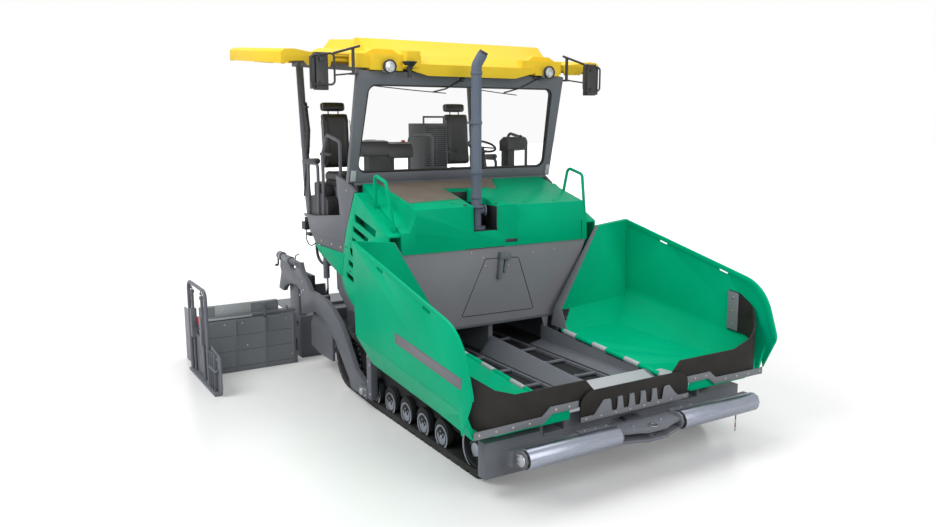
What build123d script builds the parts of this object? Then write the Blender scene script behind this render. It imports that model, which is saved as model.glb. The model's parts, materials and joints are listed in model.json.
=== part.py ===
"""Tracked asphalt paver with a folding hopper, canopy and extending screed.

Frame: +Z up, ground at z = 0, +Y towards the rear, +X to the machine's left.
Origin on the ground below the centre of the machine's bounding box.
All sizes are in millimetres.  "Aft" distances count from the hopper's front edge.
"""
import os
from math import atan2, cos, degrees, radians, sin, sqrt, tan

from build123d import *

os.makedirs("parts", exist_ok=True)

# ---------------------------------------------------------------- driving sizes
push_roller_reach = 305  # front of the push rollers, ahead of the hopper's edge
tractor_aft = 3900  # rear face of the tractor's main frame
screed_aft = 4450  # front face of the fixed screed
screed_depth = 400  # fixed screed, front to back
walkway_depth = 845  # walkway behind the fixed screed
overall_length = push_roller_reach + screed_aft + screed_depth + walkway_depth

hopper_half_width = 1640  # outside of a wing wall, wings open
hinge_x = 655  # wing hinge axis, from the middle
hinge_front_z = 569  # the axis rises towards the rear
hinge_slope = 0.066
hopper_length = 1915  # wing wall, front to rear
wing_top_z = 1785
sheet = 12  # hopper sheet steel

track_outer_x = 1243
track_width = 305
belt_thickness = 70
belt_sag = 82
idler_aft = 470
idler_radius = 200
sprocket_aft = 3020
sprocket_z = 365
sprocket_radius = 265
roller_radius = 120
roller_first_aft = 1023
roller_pitch = 335
roller_count = 5
running_gap = 0.3  # between a wheel and the belt it rolls on
shoe_pitch = 158

frame_half_width = 880  # outside of the main frame's side plates
frame_plate = 30
frame_bottom_z = 330
tunnel_roof_z = 800

body_half_width = 1245  # side panels, platform skirts
hood_front_aft = 1965
hood_rear_aft = 2840
hood_bottom_z = 1600
hood_edge_z = 2025
hood_rear_z = 2220

platform_z = 1790
platform_front_aft = 2990
platform_rear_aft = 4300

screen_bottom = (2890, 2240)  # aft, z on the windscreen's plane
screen_top_z = 3340
screen_lean = 13.5  # degrees, top forward

roof_front_aft = 2607
roof_front_z = 3366
roof_rise = 4.5  # degrees, rear up
roof_half_width = 1247
roof_length = 2150
roof_skirt = 130
awning_half_width = 1930

arm_inner_x = 1250
arm_thickness = 52
tow_pin_aft = 2500
tow_pin_z = 160
tow_pin_radius = 30

extension_end_x = 2450
extension_inner_x = 1353
gate_inner_x = 2462

auger_aft = 4060
auger_z = 330
auger_radius = 200
auger_shaft_radius = 40

seat_right_x, seat_left_x = -905, 700

front_y = -overall_length / 2
hopper_front_y = front_y + push_roller_reach


def aft(distance):
    """Row-frame y of a place so far behind the hopper's front edge."""
    return hopper_front_y + distance


def side_plane(x):
    """Sketch plane facing +X whose axes are row-frame y and z."""
    return Plane.YZ.offset(x)


def spots(pairs):
    """(aft, z) pairs as (y, z) points of a side plane."""
    return [(aft(a), z) for a, z in pairs]


def side_plate(pairs, x_near, x_far):
    """A plate whose outline is given in side view, between two x values."""
    with BuildPart() as plate:
        with BuildSketch(side_plane(x_near)):
            with BuildLine():
                Polyline(*spots(pairs), close=True)
            make_face()
        extrude(amount=x_far - x_near)
    return plate.part


def cross_plate(pairs, aft_near, aft_far):
    """A plate whose outline is given in front view (x, z), between two stations."""
    with BuildPart() as plate:
        with BuildSketch(Plane.XZ.offset(-aft(aft_near))):
            with BuildLine():
                Polyline(*pairs, close=True)
            make_face()
        extrude(amount=aft_near - aft_far)
    return plate.part


def box(x_range, aft_range, z_range):
    """A plain block between limits along the three axes."""
    (x0, x1), (a0, a1), (z0, z1) = x_range, aft_range, z_range
    with BuildPart() as block:
        with Locations(((x0 + x1) / 2, (aft(a0) + aft(a1)) / 2, (z0 + z1) / 2)):
            Box(x1 - x0, a1 - a0, z1 - z0)
    return block.part


def rod(start, end, radius):
    """A round bar between two (x, aft, z) points."""
    a = Vector(start[0], aft(start[1]), start[2])
    b = Vector(end[0], aft(end[1]), end[2])
    with BuildPart() as bar:
        with BuildSketch(Plane(origin=a, z_dir=b - a)):
            Circle(radius)
        extrude(amount=(b - a).length)
    return bar.part


def bent_tube(points, radius, bend):
    """A round tube along straight runs joined by bends, through (x, aft, z) points."""
    route_points = [(x, aft(a), z) for x, a, z in points]
    with BuildPart() as tube:
        with BuildLine() as route:
            FilletPolyline(*route_points, radius=bend)
        with BuildSketch(Plane(origin=route.wire() @ 0, z_dir=route.wire() % 0)):
            Circle(radius)
        sweep(path=route.wire())
    return tube.part


def rounded_outline(corners):
    """Closed outline in the open line builder; a corner is (u, v, radius)."""
    legs = []
    for index, (u, v, radius) in enumerate(corners):
        corner = Vector(u, v)
        before = Vector(*corners[index - 1][:2]) - corner
        after = Vector(*corners[(index + 1) % len(corners)][:2]) - corner
        if radius == 0:
            legs.append((corner, corner, corner))
            continue
        half_angle = radians(before.get_angle(after)) / 2
        reach = radius / tan(half_angle)
        bisector = (before.normalized() + after.normalized()).normalized()
        middle = corner + bisector * (radius / sin(half_angle) - radius)
        legs.append((corner + before.normalized() * reach, middle, corner + after.normalized() * reach))
    for index, (start, middle, end) in enumerate(legs):
        if (end - start).length > 0:
            ThreePointArc(start, middle, end)
        Line(end, legs[(index + 1) % len(legs)][0])


def rounded_side_plate(corners, x_near, x_far):
    """A plate in side view whose corners, (aft, z, radius), are rounded one by one."""
    with BuildPart() as plate:
        with BuildSketch(side_plane(x_near)):
            with BuildLine():
                rounded_outline([(aft(a), z, radius) for a, z, radius in corners])
            make_face()
        extrude(amount=x_far - x_near)
    return plate.part


def rounded_cross_plate(corners, aft_near, aft_far):
    """A plate in front view whose corners, (x, z, radius), are rounded one by one."""
    with BuildPart() as plate:
        with BuildSketch(Plane.XZ.offset(-aft(aft_near))):
            with BuildLine():
                rounded_outline(corners)
            make_face()
        extrude(amount=aft_near - aft_far)
    return plate.part


def mirrored(part):
    """The same piece on the other side of the machine."""
    return mirror(part, about=Plane.YZ)


def write(part, name):
    """Label a finished piece and write its STEP file."""
    part.label = name
    export_step(part, f"parts/{name}.step")


def write_pair(left_part, name):
    """Write a left piece and its mirror image."""
    write(left_part, f"{name}_left")
    write(mirrored(left_part), f"{name}_right")


def write_both(left_part, name):
    """Write a left piece and its mirror image as one node."""
    with BuildPart() as both:
        add(left_part)
        add(mirrored(left_part))
    write(both.part, name)


# ---------------------------------------------------------------- track
# (aft, z, radius) of the wheels that the belt wraps, measured to the belt's inside
last_roller_aft = roller_first_aft + roller_pitch * (roller_count - 1)
wrapped_wheels = [
    (idler_aft, belt_thickness + idler_radius, idler_radius),
    (last_roller_aft, belt_thickness + roller_radius, roller_radius),
    (sprocket_aft, sprocket_z, sprocket_radius),
]


def belt_outline(extra):
    """Face around the wrapped wheels, each grown by extra, in (y, z); the top run sags."""
    with BuildSketch() as outline:
        for wheel_aft, wheel_z, radius in wrapped_wheels:
            with Locations((aft(wheel_aft), wheel_z)):
                Circle(radius + extra)
        make_hull()
        front_aft, front_z, front_radius = wrapped_wheels[0]
        rear_aft, rear_z, rear_radius = wrapped_wheels[-1]
        # the run leaves each wheel a little past its highest point
        front_drop, rear_drop = 40, 90
        front = (
            aft(front_aft + front_drop),
            front_z + sqrt((front_radius + extra) ** 2 - front_drop**2),
        )
        rear = (
            aft(rear_aft - rear_drop),
            rear_z + sqrt((rear_radius + extra) ** 2 - rear_drop**2),
        )
        middle = ((front[0] + rear[0]) / 2, (front[1] + rear[1]) / 2 - belt_sag)
        with BuildLine():
            ThreePointArc(front, middle, rear)
            Polyline(rear, (rear[0], rear[1] + 300), (front[0], front[1] + 300), front)
        make_face(mode=Mode.SUBTRACT)
    return outline.sketch


def make_track():
    outer = belt_outline(belt_thickness)
    inner = belt_outline(0)
    rim = outer.face().outer_wire()
    shoe_count = round(rim.length / shoe_pitch)
    groove_width, groove_depth = 18, 22
    with BuildPart() as track:
        with BuildSketch(side_plane(track_outer_x - track_width)):
            add(outer)
            add(inner, mode=Mode.SUBTRACT)
            for shoe in range(shoe_count):
                along = (shoe + 0.5) / shoe_count
                place = rim.position_at(along)
                heading = rim.tangent_at(along)
                turn = degrees(atan2(heading.Y, heading.X))
                with Locations(Location((place.X, place.Y, 0), (0, 0, turn))):
                    Rectangle(groove_width, 2 * groove_depth, mode=Mode.SUBTRACT)
        extrude(amount=track_width)
    return track.part


write_pair(make_track(), "track")

# ---------------------------------------------------------------- undercarriage
beam_inner_x, beam_outer_x = 1010, 1170


def disc(wheel_aft, wheel_z, radius, x_near, x_far):
    """A plain wheel disc across the machine."""
    with BuildPart() as wheel:
        with BuildSketch(side_plane(x_near)):
            with Locations((aft(wheel_aft), wheel_z)):
                Circle(radius)
        extrude(amount=x_far - x_near)
    return wheel.part


def make_undercarriage():
    idler_z = belt_thickness + idler_radius
    roller_z = belt_thickness + roller_radius
    tooth_count = 22
    pieces = []
    # longitudinal beam that carries the wheels
    pieces.append(
        side_plate(
            [
                (420, 235), (420, 305), (760, 400), (2500, 430), (2860, 420),
                (2860, 310), (2500, 250), (760, 240),
            ],
            beam_inner_x,
            beam_outer_x,
        )
    )
    for wheel in range(roller_count):
        place = roller_first_aft + wheel * roller_pitch
        for x_near, x_far in ((955, 1000), (1180, 1230)):
            pieces.append(disc(place, roller_z, roller_radius - running_gap, x_near, x_far))
        pieces.append(disc(place, roller_z, 55, 955, 1236))
        pieces.append(
            side_plate(
                [(place - 60, 170), (place - 60, 300), (place + 60, 300), (place + 60, 170)],
                beam_inner_x + 10,
                beam_outer_x - 10,
            )
        )
    with BuildPart() as wheels:
        for piece in pieces:
            add(piece)
        # idler: rim, web and hub
        with BuildSketch(side_plane(975)):
            with Locations((aft(idler_aft), idler_z)):
                Circle(idler_radius - running_gap)
        extrude(amount=250)
        with BuildSketch(side_plane(1225)):
            with Locations((aft(idler_aft), idler_z)):
                Circle(idler_radius - 25)
                Circle(70, mode=Mode.SUBTRACT)
        extrude(amount=-45, mode=Mode.SUBTRACT)
        # sprocket with teeth, and the drive motor's hub
        with BuildSketch(side_plane(1080)):
            with Locations((aft(sprocket_aft), sprocket_z)):
                Circle(sprocket_radius - running_gap)
                with PolarLocations(sprocket_radius + 4, tooth_count):
                    Circle(17, mode=Mode.SUBTRACT)
        extrude(amount=60)
        with BuildSketch(side_plane(1000)):
            with Locations((aft(sprocket_aft), sprocket_z)):
                Circle(180)
        extrude(amount=170)
        with BuildSketch(side_plane(1170)):
            with Locations((aft(sprocket_aft), sprocket_z)):
                Circle(130)
        extrude(amount=55)
    return wheels.part


write_pair(make_undercarriage(), "undercarriage")

# ---------------------------------------------------------------- wing hinges
hinge_pin_radius = 14
knuckle_radius = 24
knuckle_half = 100
knuckle_gap = 5
knuckle_first_aft = 235
knuckle_pitch = 465
knuckle_places = [knuckle_first_aft + knuckle_pitch * knuckle for knuckle in range(4)]
hinge_plate = 12
hinge_plate_x = hinge_x - 15
hinge_front_aft, hinge_rear_aft = 65, 1760


def hinge_z(place):
    """Height of the sloping hinge axis at a distance behind the hopper's front."""
    return hinge_front_z + hinge_slope * place


def hinge_rod(low, high, radius):
    """A round bar on the left wing's hinge axis."""
    return rod((hinge_x, low, hinge_z(low)), (hinge_x, high, hinge_z(high)), radius)


# ---------------------------------------------------------------- main frame
pivot_radius = 35
beam_pivot_aft = -10
frame_inner_x = frame_half_width - frame_plate
pan_top_z = 428
wall_aft = 2131  # back of the hopper's rear wall
sill_z = 505  # frame sides below the wings
front_aft = 60
corner_box_x = 1390


def make_chassis():
    side = [
        (70, frame_bottom_z), (70, sill_z), (wall_aft, sill_z), (wall_aft, hood_bottom_z),
        (2935, hood_bottom_z), (2935, 1560), (3700, 1560), (tractor_aft, 1300), (tractor_aft, 560),
        (3700, frame_bottom_z),
    ]
    bits = [
        side_plate(side, frame_inner_x, frame_half_width),
        side_plate(side, -frame_half_width, -frame_inner_x),
        # front cross beam, bottom pan and the wall below the front plate
        box((-frame_half_width, frame_half_width), (70, 170), (frame_bottom_z, pan_top_z - 20)),
        box((-frame_inner_x, frame_inner_x), (front_aft, 3700), (pan_top_z - 20, pan_top_z)),
        box((-hinge_plate_x, hinge_plate_x), (front_aft, front_aft + 12), (pan_top_z, 534.7)),
        # block that holds the middle rubber
        box((-340, 340), (-53.7, front_aft), (505, 546)),
        # tunnel roof and rear cross member
        box((-frame_inner_x, frame_inner_x), (2150, tractor_aft), (tunnel_roof_z, 820)),
        box((-frame_inner_x, frame_inner_x), (3860, tractor_aft), (820, 1290)),
        # divider between the two material tunnels
        box((-25, 25), (2150, tractor_aft), (pan_top_z, tunnel_roof_z)),
    ]
    for place in (900, 2150):
        bits.append(box((-1010, 1010), (place, place + 140), (312, pan_top_z - 20)))
    left_bits = [
        # corner box ahead of the track
        side_plate([(70, 160), (70, 450), (170, 450), (170, 160)], frame_half_width, corner_box_x),
        # plate that carries the wing hinge
        side_plate(
            [
                (front_aft, pan_top_z - 8), (front_aft, hinge_z(front_aft) - 34),
                (wall_aft, hinge_z(wall_aft) - 34), (wall_aft, pan_top_z - 8),
            ],
            hinge_plate_x,
            hinge_plate_x + hinge_plate,
        ),
    ]
    for place in knuckle_places:
        low, high = place - knuckle_half, place + knuckle_half
        left_bits.append(
            side_plate(
                [
                    (low, hinge_z(low) - 40), (low, hinge_z(low) - 12),
                    (high, hinge_z(high) - 12), (high, hinge_z(high) - 40),
                ],
                hinge_plate_x,
                hinge_plate_x + 30,
            )
        )
        left_bits.append(hinge_rod(low, high, knuckle_radius))
    bore = hinge_rod(0, 1900, hinge_pin_radius + 0.5)
    with BuildPart() as chassis:
        for bit in bits:
            add(bit)
        for bit in left_bits:
            add(bit)
            add(mirrored(bit))
        add(bore, mode=Mode.SUBTRACT)
        add(mirrored(bore), mode=Mode.SUBTRACT)
        # lug that carries the push beam's pivot
        with BuildSketch(Plane.XY.offset(350)):
            with BuildLine():
                Polyline(
                    (-160, aft(75)), (-70, aft(-40)), (70, aft(-40)), (160, aft(75)), close=True
                )
            make_face()
            fillet(vertices().group_by(Axis.Y)[0], 40)
        extrude(amount=50)
        with BuildSketch(Plane.XY.offset(350)):
            with Locations((0, aft(beam_pivot_aft))):
                Circle(pivot_radius)
        extrude(amount=50, mode=Mode.SUBTRACT)
    return chassis.part


write(make_chassis(), "chassis_frame")

# ---------------------------------------------------------------- hopper rear wall
rear_wall_low_z = 760
fin = [(639, rear_wall_low_z), (725, rear_wall_low_z), (708, 566), (700, 566)]
with BuildPart() as hopper_rear_wall:
    add(
        cross_plate(
            [(-1110, hood_bottom_z), (1110, hood_bottom_z), (878, rear_wall_low_z), (-878, rear_wall_low_z)],
            1962,
            2182,
        )
    )
    add(
        side_plate(
            [(1980, 1600), (2116, rear_wall_low_z), (wall_aft, rear_wall_low_z), (2000, 1575), (2000, 1600)],
            -1120,
            1120,
        ),
        mode=Mode.INTERSECT,
    )
    # corner fins beside the tunnel mouths
    add(cross_plate(fin, 2116, wall_aft))
    add(mirrored(cross_plate(fin, 2116, wall_aft)))
write(hopper_rear_wall.part, "hopper_rear_wall")

# ---------------------------------------------------------------- conveyors
conveyor_floor_z = pan_top_z + 12
conveyor_front_aft, conveyor_rear_aft = 200, 3860
with BuildPart() as conveyor_floor:
    for sign in (-1, 1):
        low, high = sorted((sign * 26, sign * 638))
        add(box((low, high), (front_aft + 40, wall_aft), (pan_top_z + 0.3, conveyor_floor_z)))
        low, high = sorted((sign * 26, sign * 848))
        add(box((low, high), (wall_aft, 3690), (pan_top_z + 0.3, conveyor_floor_z)))
write(conveyor_floor.part, "conveyor_floor")

chain_x = (185, 465)
slat_first_aft, slat_pitch, slat_count = 496, 494, 7
slat_radius = 16
chain_half_width = 13


def make_slats():
    slat_z = conveyor_floor_z + 26
    links = []
    for chain in chain_x:
        links.append(
            box(
                (chain - chain_half_width, chain + chain_half_width),
                (conveyor_front_aft, conveyor_rear_aft),
                (conveyor_floor_z + 0.3, conveyor_floor_z + 32),
            )
        )
    for slat in range(slat_count):
        place = slat_first_aft + slat * slat_pitch
        links.append(disc(place, slat_z, slat_radius, *chain_x))
        for knob_x in (206, 426):
            links.append(disc(place, slat_z, slat_radius + 8, knob_x, knob_x + 18))
    with BuildPart() as slats:
        for link in links:
            add(link)
            add(mirrored(link))
    return slats.part


write(make_slats(), "conveyor_slats")

ridge_front_aft = 497
ridge_top_front, ridge_top_rear = 547, 634


def ridge_section(place, top):
    """Cross-section of the ridge between the two conveyors."""
    with BuildSketch(Plane.XZ.offset(-aft(place))) as section:
        with BuildLine():
            Polyline(
                (-150, 463), (-150, 475), (-14, top), (14, top), (150, 475), (150, 463), close=True
            )
        make_face()
    return section.sketch.face()


with BuildPart() as conveyor_covers:
    # sloping plate at the hopper's mouth
    add(
        side_plate(
            [
                (front_aft, 547), (331, 564), (490, 611), (490, 599), (331, 552), (front_aft, 535),
            ],
            -624,
            624,
        )
    )
    loft([ridge_section(ridge_front_aft, ridge_top_front), ridge_section(2115, ridge_top_rear)], ruled=True)
    add(box((-12, 12), (front_aft + 80, 2115), (conveyor_floor_z + 0.3, 463)))
    add(box((-12, 12), (front_aft + 80, ridge_front_aft), (463, 545)))
    for sign in (-1, 1):
        add(
            cross_plate(
                [(sign * x, z) for x, z in ((639.7, 519), (485, 485), (485, 475), (639.7, 509))],
                ridge_front_aft,
                2115,
            )
        )
write(conveyor_covers.part, "conveyor_covers")

# ---------------------------------------------------------------- front apron
apron_half_width = 590
with BuildPart() as apron_rubber:
    add(
        rounded_cross_plate(
            [
                (-apron_half_width, 510, 0), (apron_half_width, 510, 0),
                (apron_half_width, 752, 130), (-apron_half_width, 752, 130),
            ],
            -68,
            -54,
        )
    )
write(apron_rubber.part, "apron_rubber")

with BuildPart() as apron_clamp:
    add(box((-apron_half_width, apron_half_width), (-80, -68.3), (508, 550)))
    for finger_x in (-187, -62, 62, 187):
        add(box((finger_x - 25, finger_x + 25), (-80, -68.3), (548, 660)))
    for sign in (-1, 1):
        add(
            cross_plate(
                [(sign * x, z) for x, z in ((460, 544), (410, 544), (310, 659), (360, 659))], -80, -68.3
            )
        )
write(apron_clamp.part, "apron_clamp")

# ---------------------------------------------------------------- push beam
roller_z = 400
roller_aft = -225
push_roller_radius = 80
roller_pin_radius = 20
roller_inner_x, roller_outer_x = 345, 1232
beam_front_aft, beam_rear_aft = -140, -80
beam_half_length = 1290


def make_push_beam():
    with BuildPart() as beam:
        add(box((-beam_half_length, beam_half_length), (beam_front_aft, beam_rear_aft), (320, 440)))
        for sign in (-1, 1):
            for x in (roller_inner_x - 30, roller_outer_x + 5):
                low, high = sorted((sign * x, sign * (x + 25)))
                add(
                    side_plate(
                        [
                            (beam_front_aft + 20, 330), (beam_front_aft + 20, 440), (-215, 470),
                            (-262, 452), (-285, 400), (-262, 348), (-225, 335),
                        ],
                        low,
                        high,
                    )
                )
            add(disc(roller_aft, roller_z, roller_pin_radius, *sorted((sign * 320, sign * 1260))))
            # top plate over the roller's inner end
            low, high = sorted((sign * 330, sign * 640))
            add(box((low, high), (beam_front_aft, beam_rear_aft), (440, 452)))
        for z in (330, 410):
            with BuildSketch(Plane.XY.offset(z)):
                with BuildLine():
                    Polyline(
                        (-330, aft(-85)), (-330, aft(-250)), (-160, aft(-300)), (-100, aft(-330)),
                        (100, aft(-330)), (160, aft(-300)), (330, aft(-250)), (330, aft(-85)),
                        close=True,
                    )
                make_face()
                with Locations((0, aft(-270))):
                    Circle(26, mode=Mode.SUBTRACT)
            extrude(amount=25)
        # pivot fork above and below the chassis lug
        for z in (320, 405):
            with BuildSketch(Plane.XY.offset(z)):
                with BuildLine():
                    Polyline((-90, aft(-85)), (-60, aft(30)), (60, aft(30)), (90, aft(-85)), close=True)
                make_face()
            extrude(amount=25)
        with BuildSketch(Plane.XY.offset(320)):
            with Locations((0, aft(beam_pivot_aft))):
                Circle(pivot_radius - 0.5)
        extrude(amount=110)
    return beam.part


write(make_push_beam(), "push_beam")

with BuildPart() as push_roller_left:
    with BuildSketch(side_plane(roller_inner_x)):
        with Locations((aft(roller_aft), roller_z)):
            Circle(push_roller_radius)
            Circle(roller_pin_radius + 0.5, mode=Mode.SUBTRACT)
    extrude(amount=roller_outer_x - roller_inner_x)
write_pair(push_roller_left.part, "push_roller")

# ---------------------------------------------------------------- hopper wings
wall_in = hopper_half_width - sheet
floor_inner_x = hinge_x + 8
floor_rise = sheet / 2  # floor's top above the hinge axis
fold_rear = (wall_in, 1875, 945)  # rear end of the fold between wall and chamfer
fold_front = (wall_in, 436, 848)
floor_corner_rear = (1350, 1691, hinge_front_z + hinge_slope * 1691 + floor_rise)
floor_corner_middle = (1515, 537, hinge_front_z + hinge_slope * 537 + floor_rise)
floor_corner_front = (1535, 27, hinge_front_z + 4)
inside_wing = (1000, 1000, 1200)
wing_front_aft = -12
flange_front_aft = -24
# inner edge of the rear wall in front view
wing_inner_edge = [(693, 690), (727, 886), (1223, 1740)]


def facing(first, second, third, inside):
    """Plane through three (x, aft, z) points whose normal looks towards a fourth."""
    p, q, r, s = [Vector(x, aft(a), z) for x, a, z in (first, second, third, inside)]
    normal = (q - p).cross(r - p)
    if normal.dot(s - p) < 0:
        normal = -normal
    return Plane(origin=p, z_dir=normal)


def wing_cavity(bottom):
    """The space inside a wing above one bottom plane."""
    chamfer = (floor_corner_rear, floor_corner_middle, fold_rear)
    facet = (fold_rear, fold_front, floor_corner_front)
    rear_chamfer = ((693, 1731, 687), floor_corner_rear, fold_rear)
    rear_wall = ((800, 1875, 945), (1600, 1875, 945), (1600, 1903, 1786))
    with BuildPart() as space:
        add(box((400, wall_in), (-200, 2100), (500, 2300)))
        for trio in (bottom, chamfer, facet, rear_chamfer, rear_wall):
            split(bisect_by=facing(*trio, inside_wing), keep=Keep.TOP)
    return space.part


def make_wing():
    tub_side = [
        (wing_front_aft, 536), (wing_front_aft, 1000), (1862, 1000), (1888, 1800), (1915, 1800),
        (1887, 900), (1727, 677), (490, 598),
    ]
    tub_front = [
        (floor_inner_x, 500), (floor_inner_x, 690), *wing_inner_edge,
        (hopper_half_width, wing_top_z), (hopper_half_width, 500),
    ]
    floor_plane = ((floor_inner_x, 0, hinge_front_z + floor_rise), floor_corner_rear, floor_corner_middle)
    # the floor's front part slopes down a little more
    lip_plane = ((655, 490, 607.3), (1588, 310, 595.5), (655, 27, 553))
    wall_outline = [
        (hopper_length, wing_top_z, 0), (24, 1364, 420), (-142, 895, 120), (0, 590, 0), (43, 780, 0),
        (1882, 933, 0),
    ]
    wall = rounded_side_plate(wall_outline, wall_in, hopper_half_width)
    strip = facing(
        (hopper_half_width, 43, 780), (hopper_half_width, 1882, 933), (1560, 130, 578), inside_wing
    )
    with BuildPart() as rim:
        with BuildSketch(side_plane(wall_in - 12)):
            with BuildLine():
                rounded_outline([(aft(a), z, radius) for a, z, radius in wall_outline])
            make_face()
            offset(amount=-43, mode=Mode.SUBTRACT)
            with BuildLine():
                Polyline(*spots([(-200, 400), (-200, 880), (2000, 1060), (2000, 400)]), close=True)
            make_face(mode=Mode.SUBTRACT)
        extrude(amount=12)
    with BuildPart() as wing:
        add(side_plate(tub_side, floor_inner_x, wall_in + 2))
        add(cross_plate(tub_front, -100, 1960), mode=Mode.INTERSECT)
        add(wing_cavity(floor_plane), mode=Mode.SUBTRACT)
        add(wing_cavity(lip_plane), mode=Mode.SUBTRACT)
        split(bisect_by=strip, keep=Keep.TOP)
        add(wall)
        add(rim.part)
        # flange at the top of the rear wall
        add(
            cross_plate(
                [
                    (1223, wing_top_z - 57), (1223, wing_top_z - 45), (hopper_half_width, wing_top_z),
                    (hopper_half_width, wing_top_z - 12),
                ],
                1902,
                1960,
            )
        )
        # flange behind the front rubber
        add(
            cross_plate(
                [(floor_inner_x, 536), (floor_inner_x, 690), (860, 690), (930, 640), (1365, 640), (1365, 536)],
                flange_front_aft,
                wing_front_aft + 2,
            )
        )
        # lifting slots in the wall
        slope = degrees(atan2(wing_top_z - 1364, hopper_length - 24))
        for slot_aft, slot_z in ((1338, 1608), (522, 1427)):
            with BuildSketch(side_plane(wall_in - 5)):
                with Locations(Location((aft(slot_aft), slot_z, 0), (0, 0, slope))):
                    SlotOverall(120, 35)
            extrude(amount=sheet + 10, mode=Mode.SUBTRACT)
        for place in knuckle_places:
            add(
                box(
                    (hinge_x - 50, hinge_x + 35),
                    (place - knuckle_half - knuckle_gap, place + knuckle_half + knuckle_gap),
                    (hinge_z(place) - 60, hinge_z(place) + 60),
                ),
                mode=Mode.SUBTRACT,
            )
        add(hinge_rod(hinge_front_aft, hinge_rear_aft, hinge_pin_radius))
        starts = [hinge_front_aft] + [place + knuckle_half + knuckle_gap for place in knuckle_places]
        ends = [place - knuckle_half - knuckle_gap for place in knuckle_places] + [hinge_rear_aft]
        for low, high in zip(starts, ends):
            add(hinge_rod(low, high, knuckle_radius))
    return wing.part


write_pair(make_wing(), "hopper_wing")

rubber_thickness = 15.7
rubber_front_aft = -40
rubber_turn_radius = 268  # outside of the bend from front to side
rubber_outer_x = wall_in - 0.3


def make_wing_rubber():
    centre_x = rubber_outer_x - rubber_turn_radius
    centre_aft = rubber_front_aft + rubber_turn_radius
    inner_radius = rubber_turn_radius - rubber_thickness
    diagonal = sqrt(0.5)
    tip_x, tail_aft = 430, 425
    front_view = [
        (518, 836), (1190, 836), (1371, 899), (1574, 1040), (1600, 1130), (1612, 1300),
        (hopper_half_width, 1300), (hopper_half_width, 554), (950, 560), (870, 625), (tip_x, 625),
        (tip_x, 740),
    ]
    side_view = [
        (-60, 540), (-24, 540), (-23, 578), (0, 595), (27, 625), (60, 690), (110, 778), (160, 840), (228, 858),
        (440, 868), (440, 1255), (425, 1254), (300, 1240), (60, 1100), (-14, 1300), (-60, 1300),
    ]
    with BuildPart() as rubber:
        with BuildSketch(Plane.XY.offset(540)):
            with BuildLine():
                Line((tip_x, aft(rubber_front_aft)), (centre_x, aft(rubber_front_aft)))
                ThreePointArc(
                    (centre_x, aft(rubber_front_aft)),
                    (
                        centre_x + rubber_turn_radius * diagonal,
                        aft(centre_aft - rubber_turn_radius * diagonal),
                    ),
                    (rubber_outer_x, aft(centre_aft)),
                )
                Polyline(
                    (rubber_outer_x, aft(centre_aft)),
                    (rubber_outer_x, aft(tail_aft)),
                    (rubber_outer_x - rubber_thickness, aft(tail_aft)),
                    (rubber_outer_x - rubber_thickness, aft(centre_aft)),
                )
                ThreePointArc(
                    (rubber_outer_x - rubber_thickness, aft(centre_aft)),
                    (centre_x + inner_radius * diagonal, aft(centre_aft - inner_radius * diagonal)),
                    (centre_x, aft(rubber_front_aft + rubber_thickness)),
                )
                Polyline(
                    (centre_x, aft(rubber_front_aft + rubber_thickness)),
                    (tip_x, aft(rubber_front_aft + rubber_thickness)),
                    (tip_x, aft(rubber_front_aft)),
                )
            make_face()
        extrude(amount=760)
        add(cross_plate(front_view, -60, 500), mode=Mode.INTERSECT)
        add(side_plate(side_view, 300, 1700), mode=Mode.INTERSECT)
    return rubber.part


write_pair(make_wing_rubber(), "wing_rubber")

seal_thickness = 8
seal_edge = [(x - 0.3, z) for x, z in wing_inner_edge]
with BuildPart() as wing_seal:
    add(
        cross_plate(
            seal_edge + [(x - seal_thickness, z) for x, z in reversed(seal_edge)], 1700, 2030
        )
    )
    add(
        side_plate(
            [(1734, 690), (1875, 886), (1902, 1740), (1950, 1740), (2010, 690)], 600, 1300
        ),
        mode=Mode.INTERSECT,
    )
with BuildPart() as wing_clamp_left:
    add(
        cross_plate(
            [
                (597, 625), (597, 685), (870, 685), (951, 620), (1562, 615), (1562, 554), (940, 560),
                (851, 625),
            ],
            -54,
            rubber_front_aft - 0.3,
        )
    )
    add(
        side_plate(
            [(295, 872), (425, 884), (425, 1250), (302, 1236)],
            rubber_outer_x - rubber_thickness - 12,
            rubber_outer_x - rubber_thickness - 0.3,
        )
    )
    add(wing_seal.part)
write_pair(wing_clamp_left.part, "wing_clamp")

# ---------------------------------------------------------------- hood and side panels
hood_side_x = 1114
recess_low_x, recess_high_x = -310, -46
recess_floor_z = 1771
recess_rear_aft = 2550
block_left_x, block_right_x = 208, -961
channel_x = -1027


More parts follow.
